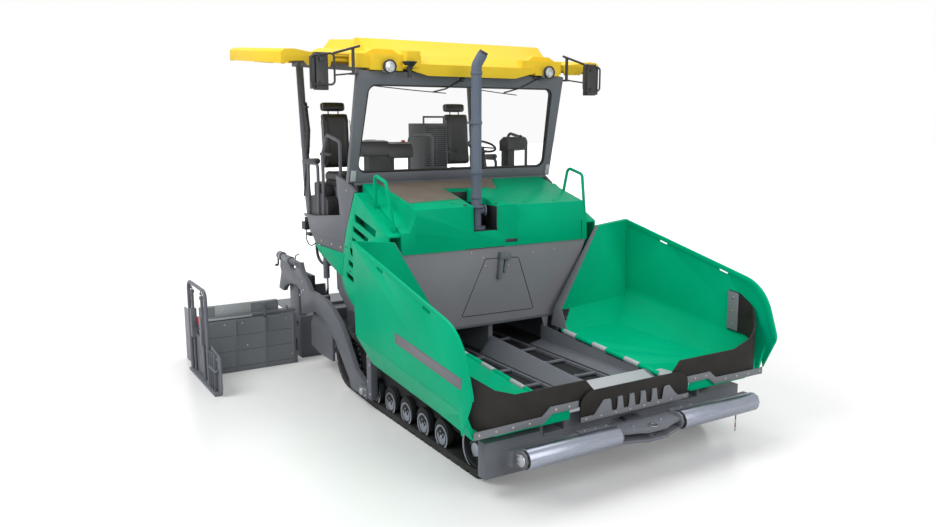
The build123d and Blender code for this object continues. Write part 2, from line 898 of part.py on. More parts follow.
def make_hood():
    front = [(hood_front_aft, hood_bottom_z)]
    rear = [(hood_rear_aft, hood_rear_z), (hood_rear_aft, hood_bottom_z)]
    chamfered = front + [(hood_front_aft + 10, 1810), (2050, 2005)] + rear
    raised = front + [(1990, hood_edge_z - 5), (2000, hood_edge_z)] + rear
    channel = front + [(hood_front_aft + 10, 1808), (2700, 2150)] + rear
    wall = 20
    with BuildPart() as hood:
        add(side_plate(chamfered, block_left_x, hood_side_x))
        add(side_plate(raised, block_right_x, block_left_x))
        add(side_plate(channel, -hood_side_x, block_right_x))
        # slanted flank between channel and raised block
        add(
            cross_plate(
                [(block_right_x + 2, 1967), (block_right_x + 2, 1800), (channel_x, 1800), (channel_x, 1808)],
                hood_front_aft + 10,
                2350,
            )
        )
        for low, high in ((-930, recess_low_x - wall), (recess_high_x + wall, hood_side_x - wall)):
            add(
                side_plate(
                    [
                        (hood_front_aft + wall, hood_bottom_z - 5), (2000, 1790), (2075, 1960),
                        (hood_rear_aft - wall, hood_rear_z - 50), (hood_rear_aft - wall, hood_bottom_z - 5),
                    ],
                    low,
                    high,
                ),
                mode=Mode.SUBTRACT,
            )
        # exhaust recess
        add(
            box((recess_low_x, recess_high_x), (1900, recess_rear_aft), (recess_floor_z, 2400)),
            mode=Mode.SUBTRACT,
        )
    return hood.part


write(make_hood(), "hood")

panel_skin = 15
# rear end (aft, z) of each louvre's top edge, its front end's aft place, its height
louvres = [
    (2756, 1931, 2252, 78), (2806, 1803, 2433, 61), (2836, 1685, 2540, 60), (2887, 1572, 2630, 60),
    (2942, 1438, 2710, 60), (2995, 1303, 2790, 60),
]
louvre_slope = 0.233


def make_side_panel():
    outline = [
        (2065, 1000, 0), (2065, 1180, 40), (1975, 1350, 60), (1990, 1790, 20), (2042, 1814, 20),
        (2736, 2152, 30), (2989, 1724, 60), (3158, 1239, 60), (3050, 1090, 80), (2869, 976, 60),
        (2400, 960, 0),
    ]
    inset = [
        (1900, 900), (1900, 1760), (2050, 1780), (2716, 2108), (2955, 1715), (3120, 1239),
        (3020, 1110), (2850, 1000), (2400, 980), (2380, 900),
    ]
    with BuildPart() as panel:
        add(rounded_side_plate(outline, hood_side_x + 0.3, body_half_width))
        add(side_plate(inset, hood_side_x - 10, body_half_width - panel_skin), mode=Mode.SUBTRACT)
        for rear_aft, top_z, louvre_front_aft, height in louvres:
            drop = louvre_slope * (rear_aft - louvre_front_aft)
            add(
                side_plate(
                    [
                        (rear_aft, top_z), (louvre_front_aft, top_z - drop),
                        (louvre_front_aft + 20, top_z - drop - height + 8), (rear_aft - 4, top_z - height),
                    ],
                    body_half_width - panel_skin - 5,
                    body_half_width + 5,
                ),
                mode=Mode.SUBTRACT,
            )
    return panel.part


side_panel = make_side_panel()
write_both(side_panel, "side_panels")

with BuildPart() as fender_left:
    add(
        side_plate(
            [(3085, 1485), (3175, 1235), (3500, 1320), (3880, 1478)],
            body_half_width - 20,
            body_half_width,
        )
    )
    add(
        side_plate(
            [
                (2890, 826), (2890, 950), (3090, 1080), (3200, 1235), (3560, 1410), (3620, 1380),
                (3600, 1000), (3320, 820),
            ],
            1095,
            1112,
        )
    )
    add(box((frame_half_width, 1236), (3400, 3440), (1290, 1312)))
write_both(fender_left.part, "fenders")

write(box((-700, 700), (2160, 2900), (820, 1555)), "engine_block")

# ---------------------------------------------------------------- exhaust
pipe_x, pipe_aft = -178, 2150
pipe_radius = 52
pipe_bend_z = 3390
outlet = (pipe_x + 48, pipe_aft - 40, 3500)
with BuildPart() as exhaust_pipe:
    add(
        bent_tube(
            [(pipe_x, pipe_aft, 1800), (pipe_x, pipe_aft, pipe_bend_z), outlet], pipe_radius, 90
        )
    )
    add(rod((pipe_x, pipe_aft, recess_floor_z), (pipe_x, pipe_aft, 1801), 95))
    add(rod((pipe_x, pipe_aft, 1990), (pipe_x, pipe_aft, 2012), 84))
    add(rod((pipe_x, pipe_aft, 2330), (pipe_x, pipe_aft, 2362), 60))
    # branch to the rear of the recess
    add(rod((pipe_x, pipe_aft, 1900), (pipe_x, recess_rear_aft - 0.3, 1900), 60))
    add(
        rod(
            (pipe_x + 24, pipe_aft - 20, (pipe_bend_z + outlet[2]) / 2),
            (outlet[0] + 10, outlet[1] - 8.3, outlet[2] + 23),
            pipe_radius - 6,
        ),
        mode=Mode.SUBTRACT,
    )
write(exhaust_pipe.part, "exhaust_pipe")

# ---------------------------------------------------------------- operator platform
with BuildPart() as operator_platform:
    add(box((-1215, 1215), (platform_front_aft, platform_rear_aft), (platform_z - 30, platform_z)))
    add(box((-frame_half_width, frame_half_width), (3020, 3700), (1560, platform_z - 30)))
    add(box((-1110, 1110), (2940, 2990), (1560, 2205)))
    add(box((-1200, 1200), (2850, 2990), (2205, 2232.7)))
    for seat_x in (seat_right_x, seat_left_x):
        add(box((seat_x - 150, seat_x + 150), (3560, 3900), (platform_z, 2149.7)))
write(operator_platform.part, "operator_platform")

skirt_inner_x = 1215
with BuildPart() as skirt_left:
    add(
        side_plate(
            [(3045, 1600), (2998, 1740), (2998, 1880), (3140, 1880), (4120, 1775), (4030, 1600)],
            skirt_inner_x,
            body_half_width,
        )
    )
    add(side_plate([(3080, 1486), (3045, 1600), (4015, 1600), (3880, 1486)], 1200, body_half_width - 5))
    add(
        side_plate(
            [(2760, 2150), (2990, 1740), (3140, 1880), (3230, 2290), (2900, 2230)],
            skirt_inner_x,
            body_half_width - 1,
        )
    )
write_both(skirt_left.part, "platform_skirts")

# ---------------------------------------------------------------- windscreen
lean = radians(screen_lean)
screen_plane = Plane(
    origin=(0, aft(screen_bottom[0]), screen_bottom[1]),
    x_dir=(1, 0, 0),
    z_dir=(0, -cos(lean), -sin(lean)),
)
screen_height = (screen_top_z - screen_bottom[1]) / cos(lean)
glass_low, glass_high = 96, 1000
glass_low_x, glass_high_x = 1169, 1122


def screen_opening(grow):
    """Corner points of the glass opening on the windscreen's plane."""
    return [
        (-glass_low_x - grow, glass_low - grow), (glass_low_x + grow, glass_low - grow),
        (glass_high_x + grow, glass_high + grow), (-glass_high_x - grow, glass_high + grow),
    ]


with BuildPart() as windscreen_frame:
    with BuildSketch(screen_plane):
        with BuildLine():
            Polyline((-1262, 0), (1262, 0), (1247, screen_height), (-1247, screen_height), close=True)
        make_face()
        with BuildLine():
            FilletPolyline(*screen_opening(0), radius=90, close=True)
        make_face(mode=Mode.SUBTRACT)
    extrude(amount=30, both=True)
write(windscreen_frame.part, "windscreen_frame")

with BuildPart() as windscreen_glass:
    with BuildSketch(screen_plane):
        with BuildLine():
            FilletPolyline(*screen_opening(-0.3), radius=90, close=True)
        make_face()
    extrude(amount=4, both=True)
write(windscreen_glass.part, "windscreen_glass")

# ---------------------------------------------------------------- canopy
rise = radians(roof_rise)
roof_plane = Plane(
    origin=(0, aft(roof_front_aft), roof_front_z), x_dir=(1, 0, 0), z_dir=(0, -sin(rise), cos(rise))
)


def roof_point(u, v, w):
    """The (x, aft, z) place of a point in the roof's frame: u across, v rearwards, w up."""
    return (
        u,
        roof_front_aft + v * cos(rise) - w * sin(rise),
        roof_front_z + v * sin(rise) + w * cos(rise),
    )


def roof_box(u_range, v_range, w_range):
    """A block in the roof's frame."""
    with BuildPart() as block:
        with BuildSketch(roof_plane.offset(w_range[0])):
            with Locations(((u_range[0] + u_range[1]) / 2, (v_range[0] + v_range[1]) / 2)):
                Rectangle(u_range[1] - u_range[0], v_range[1] - v_range[0])
        extrude(amount=w_range[1] - w_range[0])
    return block.part


def roof_section(pairs, v_near, v_far):
    """A bar along v whose (u, w) cross-section is given."""
    _, place, height = roof_point(0, v_near, 0)
    plane = Plane(
        origin=(0, aft(place), height), x_dir=(1, 0, 0), z_dir=(0, -cos(rise), -sin(rise))
    )
    with BuildPart() as bar:
        with BuildSketch(plane):
            with BuildLine():
                Polyline(*pairs, close=True)
            make_face()
        extrude(amount=v_near - v_far)
    return bar.part


lamp_x, lamp_radius = 959, 62
lamp_front_aft, lamp_rear_aft = 2480, 2570
roof_skin = 14
roof_top = 280  # above the roof's base plane
awning_window = (200, 1960)  # open sides of the roof, along v
nose_v = -120


def lamp_axis(sign, place):
    """A point on the axis of one headlamp."""
    return (sign * lamp_x, place, 3372 + 0.0778 * (place - lamp_front_aft))


def make_nose():
    """The roof's sloping front between the two lamp blocks."""
    inside = roof_point(0, 300, 60)
    slope = [roof_point(0, nose_v, 45), roof_point(500, nose_v, 45), roof_point(0, 255, roof_top)]
    flanks = [
        (
            roof_point(sign * 610, nose_v, 40),
            roof_point(sign * 790, 40, 128),
            roof_point(sign * 845, 255, roof_top),
        )
        for sign in (-1, 1)
    ]
    with BuildPart() as nose:
        add(roof_box((-1100, 1100), (nose_v, 420), (20, roof_top)))
        for trio in [slope] + flanks:
            split(bisect_by=facing(*trio, inside), keep=Keep.TOP)
        add(roof_box((-1200, 1200), (60, 430), (0, roof_skirt - roof_skin)), mode=Mode.SUBTRACT)
    return nose.part


def make_roof():
    with BuildPart() as roof:
        with BuildSketch(roof_plane.offset(-5)):
            with BuildLine():
                FilletPolyline(
                    (-roof_half_width, 20), (-1000, -60), (-500, nose_v), (500, nose_v), (1000, -60),
                    (roof_half_width, 20), (roof_half_width, roof_length), (-roof_half_width, roof_length),
                    radius=60, close=True,
                )
            make_face()
        extrude(amount=roof_skirt + 5)
        with BuildSketch(roof_plane.offset(roof_skirt)):
            with Locations((0, 1000)):
                RectangleRounded(1900, 1700, 150)
        extrude(amount=roof_top - roof_skirt, taper=35)
        # hollow underneath
        add(
            roof_box(
                (-roof_half_width + roof_skin, roof_half_width - roof_skin),
                (60, roof_length - roof_skin),
                (-20, roof_skirt - roof_skin),
            ),
            mode=Mode.SUBTRACT,
        )
        add(roof_box((-1400, 1400), awning_window, (-20, roof_skirt - roof_skin)), mode=Mode.SUBTRACT)
        # the slab's front gives way to the sloping nose
        add(roof_box((-610, 610), (nose_v - 10, 20), (45, roof_skirt + 5)), mode=Mode.SUBTRACT)
        add(make_nose())
        # lip that dips between the lamps
        add(
            roof_section(
                [(-800, 8), (-520, -62), (520, -62), (800, 8), (800, 50), (-800, 50)],
                nose_v,
                nose_v + 40,
            )
        )
        for sign in (-1, 1):
            # lamp block, raised shoulder and the socket of the headlamp
            low, high = sorted((sign * 800, sign * 1125))
            add(roof_box((low, high), (-92, 55), (-22, roof_skirt)))
            add(
                roof_section(
                    [(sign * u, w) for u, w in ((780, 128), (1160, 128), (1060, 176), (850, 176))], 40, 1500
                )
            )
            add(
                rod(lamp_axis(sign, 2400), lamp_axis(sign, lamp_rear_aft), lamp_radius + 0.3),
                mode=Mode.SUBTRACT,
            )
        # small lamp housing on the nose
        add(roof_box((-805, -655), (-175, -60), (20, 170)))
    return roof.part


write(make_roof(), "canopy_roof")

awning_rods = (250, 1890)
awning_rod_w = 58
awning_rod_radius = 16
awning_front_v, awning_rear_v = 215, 1935
awning_profile = [
    (1120, 108), (1480, 102), (1640, 122), (1800, 146), (1890, 140), (awning_half_width, 112),
]
with BuildPart() as awning_left:
    lower = [(u, w - roof_skin) for u, w in reversed(awning_profile[:-1])]
    add(
        roof_section(
            awning_profile
            + [(awning_half_width, 5), (awning_half_width - roof_skin, 5), (awning_half_width - roof_skin, 104)]
            + lower,
            awning_front_v,
            awning_rear_v,
        )
    )
    end_panel = [
        (1400, 95), (1480, 92), (1640, 110), (1800, 134), (1890, 128), (awning_half_width - 6, 104),
        (awning_half_width - 6, 0), (1895, 0), (1860, 30), (1700, 38), (1660, -4), (1440, -12),
    ]
    for near in (awning_front_v, awning_rear_v - 20):
        add(roof_section(end_panel, near, near + 20))
    for v in awning_rods:
        add(
            rod(
                roof_point(1060, v, awning_rod_w),
                roof_point(awning_half_width - 10, v, awning_rod_w),
                awning_rod_radius,
            )
        )
write_pair(awning_left.part, "awning")

post_x = 1150
with BuildPart() as canopy_frame:
    for sign in (-1, 1):
        add(roof_box((sign * 1120 - 35, sign * 1120 + 35), (65, 2110), (-45, 20)))
    for v in (90, 2080):
        add(roof_box((-1150, 1150), (v - 25, v + 25), (-40, 15)))
        for u in (-700, 700):
            add(roof_box((u - 40, u + 40), (v + 5, v + 25), (15, roof_skirt - roof_skin)))
    for sign in (-1, 1):
        for v in awning_rods:
            low, high = sorted((sign * 1085, sign * 1155))
            add(roof_box((low, high), (v - 14, v + 14), (15, awning_rod_w - awning_rod_radius - 0.3)))
    for sign in (-1, 1):
        add(rod((sign * post_x, 4350, 2380), (sign * post_x, 4470, 3495), 42))
        add(
            side_plate(
                [(4300, 2050), (4380, 2050), (4420, 2400), (4330, 2480)],
                sign * post_x - 25,
                sign * post_x + 25,
            )
        )
        add(
            side_plate(
                [(4230, platform_z), (4320, platform_z), (4380, 2060), (4300, 2060)],
                sign * post_x - 25,
                sign * post_x + 25,
            )
        )
write(canopy_frame.part, "canopy_frame")

with BuildPart() as headlamps:
    for sign in (-1, 1):
        add(rod(lamp_axis(sign, lamp_front_aft), lamp_axis(sign, lamp_rear_aft), lamp_radius))
write(headlamps.part, "headlamps")

mirror_aft = 2600
guard_aft = mirror_aft - 43  # the guard loop runs along the housing's front
with BuildPart() as mirror_left:
    add(box((1248, 1315), (2570, 2650), (3290, 3308)))
    add(box((1278, 1302), (mirror_aft - 12, mirror_aft + 12), (3300, 3545)))
    add(rod((1225, mirror_aft - 14, 3560), (1505, guard_aft, 3480), 12))
    add(
        bent_tube(
            [
                (1640, guard_aft, 3462), (1500, guard_aft, 3485), (1500, guard_aft, 3190),
                (1738, guard_aft, 3190), (1738, guard_aft, 3450), (1668, guard_aft, 3458),
            ],
            10,
            40,
        )
    )
    add(rod((1300, mirror_aft, 3302), (1502, guard_aft, 3278), 8))
    add(box((1562, 1682), (mirror_aft - 40, mirror_aft + 40), (3140, 3485)))
    add(box((1690, 1722), (mirror_aft - 30, mirror_aft + 30), (3150, 3450)))
    add(box((1680, 1692), (mirror_aft - 10, mirror_aft + 10), (3200, 3400)))
write_both(mirror_left.part, "mirrors")

# ---------------------------------------------------------------- operator's place
seat_half_width = 175
backrest = [(3960, 2296), (4075, 2296), (4120, 2940), (4100, 2975), (4050, 2975), (4020, 2940)]
headrest = [(4062, 2968), (4140, 2968), (4160, 3045), (4130, 3070), (4080, 3060)]
with BuildPart() as operator_seats:
    for seat_x in (seat_right_x, seat_left_x):
        low, high = seat_x - seat_half_width, seat_x + seat_half_width
        add(box((low - 20, high + 20), (3480, 4000), (2150, 2296)))
        add(side_plate(backrest, low, high))
        add(side_plate(headrest, low + 40, high - 40))
write(operator_seats.part, "operator_seats")

shelf_z = 2250
console_top = [(3150, 2490), (3150, 2565), (3190, 2632), (3250, 2640), (3335, 2590), (3335, 2470)]
with BuildPart() as control_console:
    add(box((-1000, 1000), (3120, 3330), (platform_z, shelf_z)))
    add(side_plate(console_top, -975, -660))
    add(side_plate([(a, z - 25) for a, z in console_top], -660, -365))
    add(box((-880, -585), (3175, 3320), (shelf_z - 10, 2500)))
    add(side_plate([(a, z + 30) for a, z in console_top], 880, 1160))
    add(box((900, 990), (3175, 3320), (shelf_z - 10, 2540)))
write(control_console.part, "control_console")

with BuildPart() as equipment_cabinet:
    add(box((40, 350), (3650, 4050), (platform_z, 2825)))
write(equipment_cabinet.part, "equipment_cabinet")

rails = []
for side in (-1, 1):
    loops = (
        [
            (1190, 3225, platform_z), (1190, 3225, 2640), (1190, 3577, 2705), (1190, 3725, 2500),
            (1190, 3725, platform_z),
        ],
        [
            (1190, 3880, platform_z), (1190, 3880, 2380), (1190, 4180, 2380), (1190, 4180, platform_z),
        ],
    )
    for loop in loops:
        rails.append(bent_tube([(side * x, a, z) for x, a, z in loop], 18, 60))
rails.append(
    bent_tube([(-340, 3300, shelf_z), (-340, 3300, 2690), (-45, 3300, 2700), (-45, 3300, shelf_z)], 16, 60)
)
with BuildPart() as handrails:
    for piece in rails:
        add(piece)
write(handrails.part, "handrails")

grab_route = [(1150, 2050, 1819), (1180, 2150, 2280), (1180, 2400, 2340), (1150, 2450, 2014)]
with BuildPart() as grab_handles:
    for side in (-1, 1):
        add(bent_tube([(side * x, a, z) for x, a, z in grab_route], 16, 50))
    # feet follow the panels they stand on
    add(side_panel, mode=Mode.SUBTRACT)
    add(mirrored(side_panel), mode=Mode.SUBTRACT)
write(grab_handles.part, "grab_handles")

# ---------------------------------------------------------------- tow points
with BuildPart() as tow_rail_left:
    add(
        side_plate(
            [(2270, 120), (2270, 760), (2370, 760), (2370, 120)], arm_inner_x + 2, arm_inner_x + 72
        )
    )
    add(box((frame_half_width, arm_inner_x + 72), (2270, 2370), (690, 760)))
    add(
        side_plate(
            [(2360, 110), (2360, 230), (2540, 220), (2540, 110)],
            arm_inner_x + arm_thickness + 4,
            arm_inner_x + 80,
        )
    )
    add(
        rod(
            (arm_inner_x + 2, tow_pin_aft, tow_pin_z), (arm_inner_x + 80, tow_pin_aft, tow_pin_z),
            tow_pin_radius,
        )
    )
write_both(tow_rail_left.part, "tow_rails")

# ---------------------------------------------------------------- screed
# the arm's front part, from the underside round the tow pin to the top edge
arm_front = [
    (3586, 690), (3480, 640), (3234, 505), (3050, 345), (2872, 186), (2820, 95), (2420, 100),
    (2400, 160), (2440, 230), (2700, 330), (2800, 440), (2951, 613), (3100, 745), (3310, 850),
    (3510, 906), (3807, 925),
]
# its head above the screed, (behind the screed's face, z)
arm_head = [
    (-507, 926), (-377, 1030), (-261, 1090), (-212, 1150), (-182, 1214), (-43, 1193), (-39, 1110),
    (40, 1075), (159, 1097), (195, 1160), (250, 1222), (500, 1222), (537, 1060), (500, 1000),
    (556, 883), (607, 779), (443, 770), (405, 812), (333, 862), (129, 912), (-59, 918), (-142, 885),
    (-175, 845), (-198, 595), (-374, 648), (-615, 712),
]
tower_x = 1150
tower_top_z = 1060
with BuildPart() as tow_arm_left:
    add(
        side_plate(
            arm_front + [(screed_aft + place, z) for place, z in arm_head],
            arm_inner_x,
            arm_inner_x + arm_thickness,
        )
    )
    with BuildSketch(side_plane(arm_inner_x - 5)):
        with Locations((aft(tow_pin_aft), tow_pin_z)):
            Circle(tow_pin_radius + 0.5)
    extrude(amount=arm_thickness + 10, mode=Mode.SUBTRACT)
    # beam that the lift cylinder pulls on
    add(box((1160, arm_inner_x), (3690, 3750), (850, 905)))
    # depth spindle across the two ears
    spindle_x = arm_inner_x + arm_thickness / 2
    add(
        rod(
            (spindle_x, screed_aft - 140, 1170), (spindle_x, screed_aft + 640, 1195), 36
        )
    )
    add(rod((spindle_x, screed_aft + 520, 1191), (spindle_x, screed_aft + 600, 1194), 52))
    add(rod((spindle_x, screed_aft + 180, 1180), (spindle_x, screed_aft + 215, 1181), 50))
write_both(tow_arm_left.part, "tow_arms")

guide_radius = 45
guide_clearance = 0.5
# side: (aft, z) of the tube that each extension slides on
guides = {1: (screed_aft + 110, 400), -1: (screed_aft + 290, 300)}
with BuildPart() as screed_box:
    add(box((-arm_inner_x, arm_inner_x), (screed_aft, screed_aft + screed_depth), (0, 520)))
    for sign in (-1, 1):
        low, high = sorted((sign * tower_x, sign * arm_inner_x))
        add(box((low, high), (screed_aft + 50, screed_aft + 350), (520, tower_top_z)))
    for guide_aft, guide_z in guides.values():
        with BuildSketch(side_plane(-1400)):
            with Locations((aft(guide_aft), guide_z)):
                Circle(guide_radius + guide_clearance)
        extrude(amount=2800, mode=Mode.SUBTRACT)
write(screed_box.part, "screed_box")

walkway_front = screed_aft + screed_depth
with BuildPart() as screed_walkway:
    add(box((-1200, 1200), (walkway_front, walkway_front + walkway_depth), (462, 482)))
    add(box((-1200, 1200), (walkway_front, walkway_front + 40), (482, 560)))
write(screed_walkway.part, "screed_walkway")

board_front, board_rear = screed_aft - 150, screed_aft - 20
sole_front, sole_rear = screed_aft + 420, screed_aft + 730


def make_extension(sign):
    guide_aft, guide_z = guides[sign]
    end_low, end_high = sorted((sign * (extension_end_x - 20), sign * extension_end_x))
    board_low, board_high = sorted((sign * extension_inner_x, sign * extension_end_x))
    upper_low, upper_high = sorted((sign * (extension_inner_x + 200), sign * extension_end_x))
    rib_places = [extension_inner_x + 40 + 340 * rib for rib in range(4)]
    with BuildPart() as extension:
        add(box((end_low, end_high), (board_front, sole_rear), (0, 640)))
        # mouldboard ahead of the fixed screed, stepped towards its top
        add(box((board_low, board_high), (board_front, board_rear), (0, 620)))
        add(box((board_low, board_high), (board_front + 30, board_rear), (620, 660)))
        add(box((upper_low, upper_high), (board_front + 50, board_rear), (660, 780)))
        add(box((upper_low, upper_high), (board_front + 10, board_front + 30), (640, 672)))
        for rib in rib_places:
            low, high = sorted((sign * rib, sign * (rib + 16)))
            add(box((low, high), (board_front - 14, board_front), (20, 600)))
        # heated sole behind the fixed screed
        add(box((board_low, board_high), (sole_front, sole_rear), (0, 430)))
        add(
            rod(
                (sign * 420, guide_aft, guide_z), (sign * (extension_end_x - 10), guide_aft, guide_z),
                guide_radius,
            )
        )
    return extension.part


write(make_extension(1), "screed_extension_left")
write(make_extension(-1), "screed_extension_right")

gate_thickness = 14
gate_top = screed_aft + 190
gate_rail_x = gate_inner_x + 38
with BuildPart() as end_gate_left:
    add(
        side_plate(
            [
                (3490, 30), (3470, 90), (3490, 420), (3860, 470), (screed_aft + 250, 460),
                (screed_aft + 250, 0), (3540, 0),
            ],
            gate_inner_x,
            gate_inner_x + gate_thickness,
        )
    )
    add(box((gate_inner_x, gate_inner_x + 70), (3540, screed_aft + 230), (0, 30)))
    add(
        bent_tube(
            [
                (gate_rail_x, 3880, 20), (gate_rail_x, 3880, 1060), (gate_rail_x, gate_top, 1060),
                (gate_rail_x, gate_top, 20),
            ],
            20,
            90,
        )
    )
    # height spindles with their housings
    for place in (screed_aft - 370, screed_aft + 60):
        add(rod((gate_inner_x + 30, place, 25), (gate_inner_x + 30, place, 940), 14))
        add(box((gate_inner_x, gate_inner_x + 60), (place - 32, place + 32), (430, 760)))
        add(rod((gate_inner_x + 30, place, 940), (gate_inner_x + 30, place, 975), 24))
    add(box((extension_end_x, gate_inner_x), (screed_aft - 100, screed_aft - 30), (200, 400)))
write_pair(end_gate_left.part, "end_gate")

# ---------------------------------------------------------------- lift cylinders
lift_x, lift_aft = 1185, 3720
lift_pin_z = 1400
lift_pin_radius = 14
lift_rod_radius = 20
barrel_radius = 35
barrel_top_z = lift_pin_z - 64
barrel_low_z = 1110
lift_stroke = 147
rod_top_z = barrel_top_z - 20 - lift_stroke - 4  # stays clear of the bore's end at full stroke
with BuildPart() as lift_bracket_left:
    add(
        box(
            (frame_half_width, lift_x + 33),
            (lift_aft - 40, lift_aft + 40),
            (lift_pin_z + 45, lift_pin_z + 75),
        )
    )
    for x in (lift_x - 33, lift_x + 21):
        add(box((x, x + 12), (lift_aft - 30, lift_aft + 30), (lift_pin_z - 30, lift_pin_z + 46)))
    add(disc(lift_aft, lift_pin_z, lift_pin_radius, lift_x - 36, lift_x + 36))
write_both(lift_bracket_left.part, "lift_brackets")

with BuildPart() as lift_barrel_left:
    add(rod((lift_x, lift_aft, barrel_low_z), (lift_x, lift_aft, barrel_top_z), barrel_radius))
    add(
        rod(
            (lift_x, lift_aft, barrel_low_z - 10),
            (lift_x, lift_aft, barrel_top_z - 20),
            lift_rod_radius + 0.5,
        ),
        mode=Mode.SUBTRACT,
    )
    add(box((lift_x - 16, lift_x + 16), (lift_aft - 20, lift_aft + 20), (barrel_top_z - 2, lift_pin_z)))
    add(disc(lift_aft, lift_pin_z, 30, lift_x - 17, lift_x + 17))
    add(disc(lift_aft, lift_pin_z, lift_pin_radius + 0.5, lift_x - 20, lift_x + 20), mode=Mode.SUBTRACT)
write_pair(lift_barrel_left.part, "lift_barrel")

with BuildPart() as lift_rod_left:
    add(rod((lift_x, lift_aft, 925), (lift_x, lift_aft, rod_top_z), lift_rod_radius))
write_pair(lift_rod_left.part, "lift_rod")

# ---------------------------------------------------------------- augers
auger_inner_x, auger_outer_x = 55.3, 1204.7
flight_pitch = 280
flight_thickness = 14
flight_first_x = auger_inner_x + 60
flight_length = auger_outer_x - auger_inner_x - 120


def make_auger():
    flight_mid_radius = (auger_radius + auger_shaft_radius - 6) / 2
    flight_height = auger_radius - auger_shaft_radius + 6
    axis_y = aft(auger_aft)
    with BuildPart() as auger:
        with BuildSketch(side_plane(auger_inner_x)):
            with Locations((axis_y, auger_z)):
                Circle(auger_shaft_radius)
        extrude(amount=auger_outer_x - auger_inner_x)
        with BuildLine() as path:
            Helix(
                pitch=flight_pitch,
                height=flight_length,
                radius=flight_mid_radius,
                center=(flight_first_x, axis_y, auger_z),
                direction=(1, 0, 0),
            )
        start = path.line @ 0
        outward = start - Vector(start.X, axis_y, auger_z)
        with BuildSketch(Plane(origin=start, x_dir=outward, z_dir=path.line % 0)):
            Rectangle(flight_height, flight_thickness)
        sweep(path=path.line, is_frenet=True)
    return auger.part


write_pair(make_auger(), "auger")

with BuildPart() as auger_supports:
    add(box((-50, 50), (tractor_aft, auger_aft + 60), (420, 700)))
    add(box((-55, 55), (auger_aft - 40, auger_aft + 40), (auger_z - 40, 420)))
    add(box((-1235, 1235), (tractor_aft, tractor_aft + 80), (560, 700)))
    for sign in (-1, 1):
        low, high = sorted((sign * 1205, sign * 1235))
        add(
            side_plate(
                [(3480, 200), (3480, 760), (3990, 760), (4140, 500), (4140, 240), (3900, 200)],
                low,
                high,
            )
        )
write(auger_supports.part, "auger_supports")
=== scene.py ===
"""Looks of the tracked asphalt paver: finishes, small fittings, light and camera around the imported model.

Metres in the model's own frame: +X is the machine's left, +Y its rear, +Z up. The fittings are placed in
millimetres instead: out from the machine's middle, aft of its hopper's front edge, and up from the ground.
"""
import itertools
import json
import math

import bmesh
import bpy
from mathutils import Euler, Matrix, Vector


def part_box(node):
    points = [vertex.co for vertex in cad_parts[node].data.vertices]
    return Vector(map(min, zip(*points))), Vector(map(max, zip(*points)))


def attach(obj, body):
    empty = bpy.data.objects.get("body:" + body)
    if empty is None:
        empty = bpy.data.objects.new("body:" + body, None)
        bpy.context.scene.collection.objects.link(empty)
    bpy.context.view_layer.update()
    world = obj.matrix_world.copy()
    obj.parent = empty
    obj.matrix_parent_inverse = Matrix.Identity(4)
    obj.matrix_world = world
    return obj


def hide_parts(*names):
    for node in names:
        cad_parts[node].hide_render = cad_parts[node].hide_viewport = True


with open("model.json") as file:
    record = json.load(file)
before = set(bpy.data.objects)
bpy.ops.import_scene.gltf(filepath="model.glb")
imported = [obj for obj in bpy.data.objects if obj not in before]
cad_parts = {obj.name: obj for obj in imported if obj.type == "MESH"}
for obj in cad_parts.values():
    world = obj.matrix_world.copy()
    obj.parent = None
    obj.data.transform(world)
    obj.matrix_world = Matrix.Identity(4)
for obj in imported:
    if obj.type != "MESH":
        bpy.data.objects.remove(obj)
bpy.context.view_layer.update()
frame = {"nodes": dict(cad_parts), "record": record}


def add_object(name, data):
    made = bpy.data.objects.new(name, data)
    bpy.context.scene.collection.objects.link(made)
    return made


# ---- camera
CAMERA_PLACE = (-4.535, -7.548, 2.846)
CAMERA_DOWN, CAMERA_RIGHT = 9.84, 31.31  # degrees that it looks down, and to the right of straight back
CAMERA_LENS = 31.47  # mm, on Blender's own sensor, 36 mm wide

camera_data = bpy.data.cameras.new("camera")
camera_data.lens = CAMERA_LENS
camera = add_object("camera", camera_data)
camera.location = CAMERA_PLACE
camera.rotation_euler = Euler((math.radians(90 - CAMERA_DOWN), 0, -math.radians(CAMERA_RIGHT)))
bpy.context.scene.camera = camera


# ---- finishes
PAINT_IOR = 1.25  # low, so that the white room doesn't bleach the paint's colour at a slant
RUBBER_GLOSS = 0.2
GLASS_ROUGHNESS = 0.03


def blank_material(name):
    """A new material, its node tree's calls to add and link nodes, and its shader."""
    material = bpy.data.materials.new(name)
    material.use_nodes = True
    tree = material.node_tree
    return material, tree.nodes.new, tree.links.new, tree.nodes["Principled BSDF"]


def noise(add, link, scale, detail, stretch=None):
    """A noise texture in object space, measured in cycles per metre."""
    place = add("ShaderNodeTexCoord").outputs["Object"]
    if stretch:
        mapping = add("ShaderNodeMapping")
        mapping.inputs["Scale"].default_value = stretch
        link(place, mapping.inputs["Vector"])
        place = mapping.outputs["Vector"]
    texture = add("ShaderNodeTexNoise")
    texture.inputs["Scale"].default_value = scale
    texture.inputs["Detail"].default_value = detail
    link(place, texture.inputs["Vector"])
    return texture.outputs["Fac"]


def ramp(add, link, value, low, high, start=0.35, end=0.65):
    """A colour ramp over a value, between two colours."""
    node = add("ShaderNodeValToRGB")
    for stop, position, colour in zip(node.color_ramp.elements, (start, end), (low, high)):
        stop.position = position
        stop.color = (*colour, 1)
    link(value, node.inputs["Fac"])
    return node.outputs["Color"]


def spread(add, link, value, low, high):
    """A value from 0..1 mapped to low..high."""
    node = add("ShaderNodeMapRange")
    node.inputs["To Min"].default_value = low
    node.inputs["To Max"].default_value = high
    link(value, node.inputs["Value"])
    return node.outputs["Result"]


def times(colour, share):
    """A colour made darker or lighter."""
    return tuple(channel * share for channel in colour)


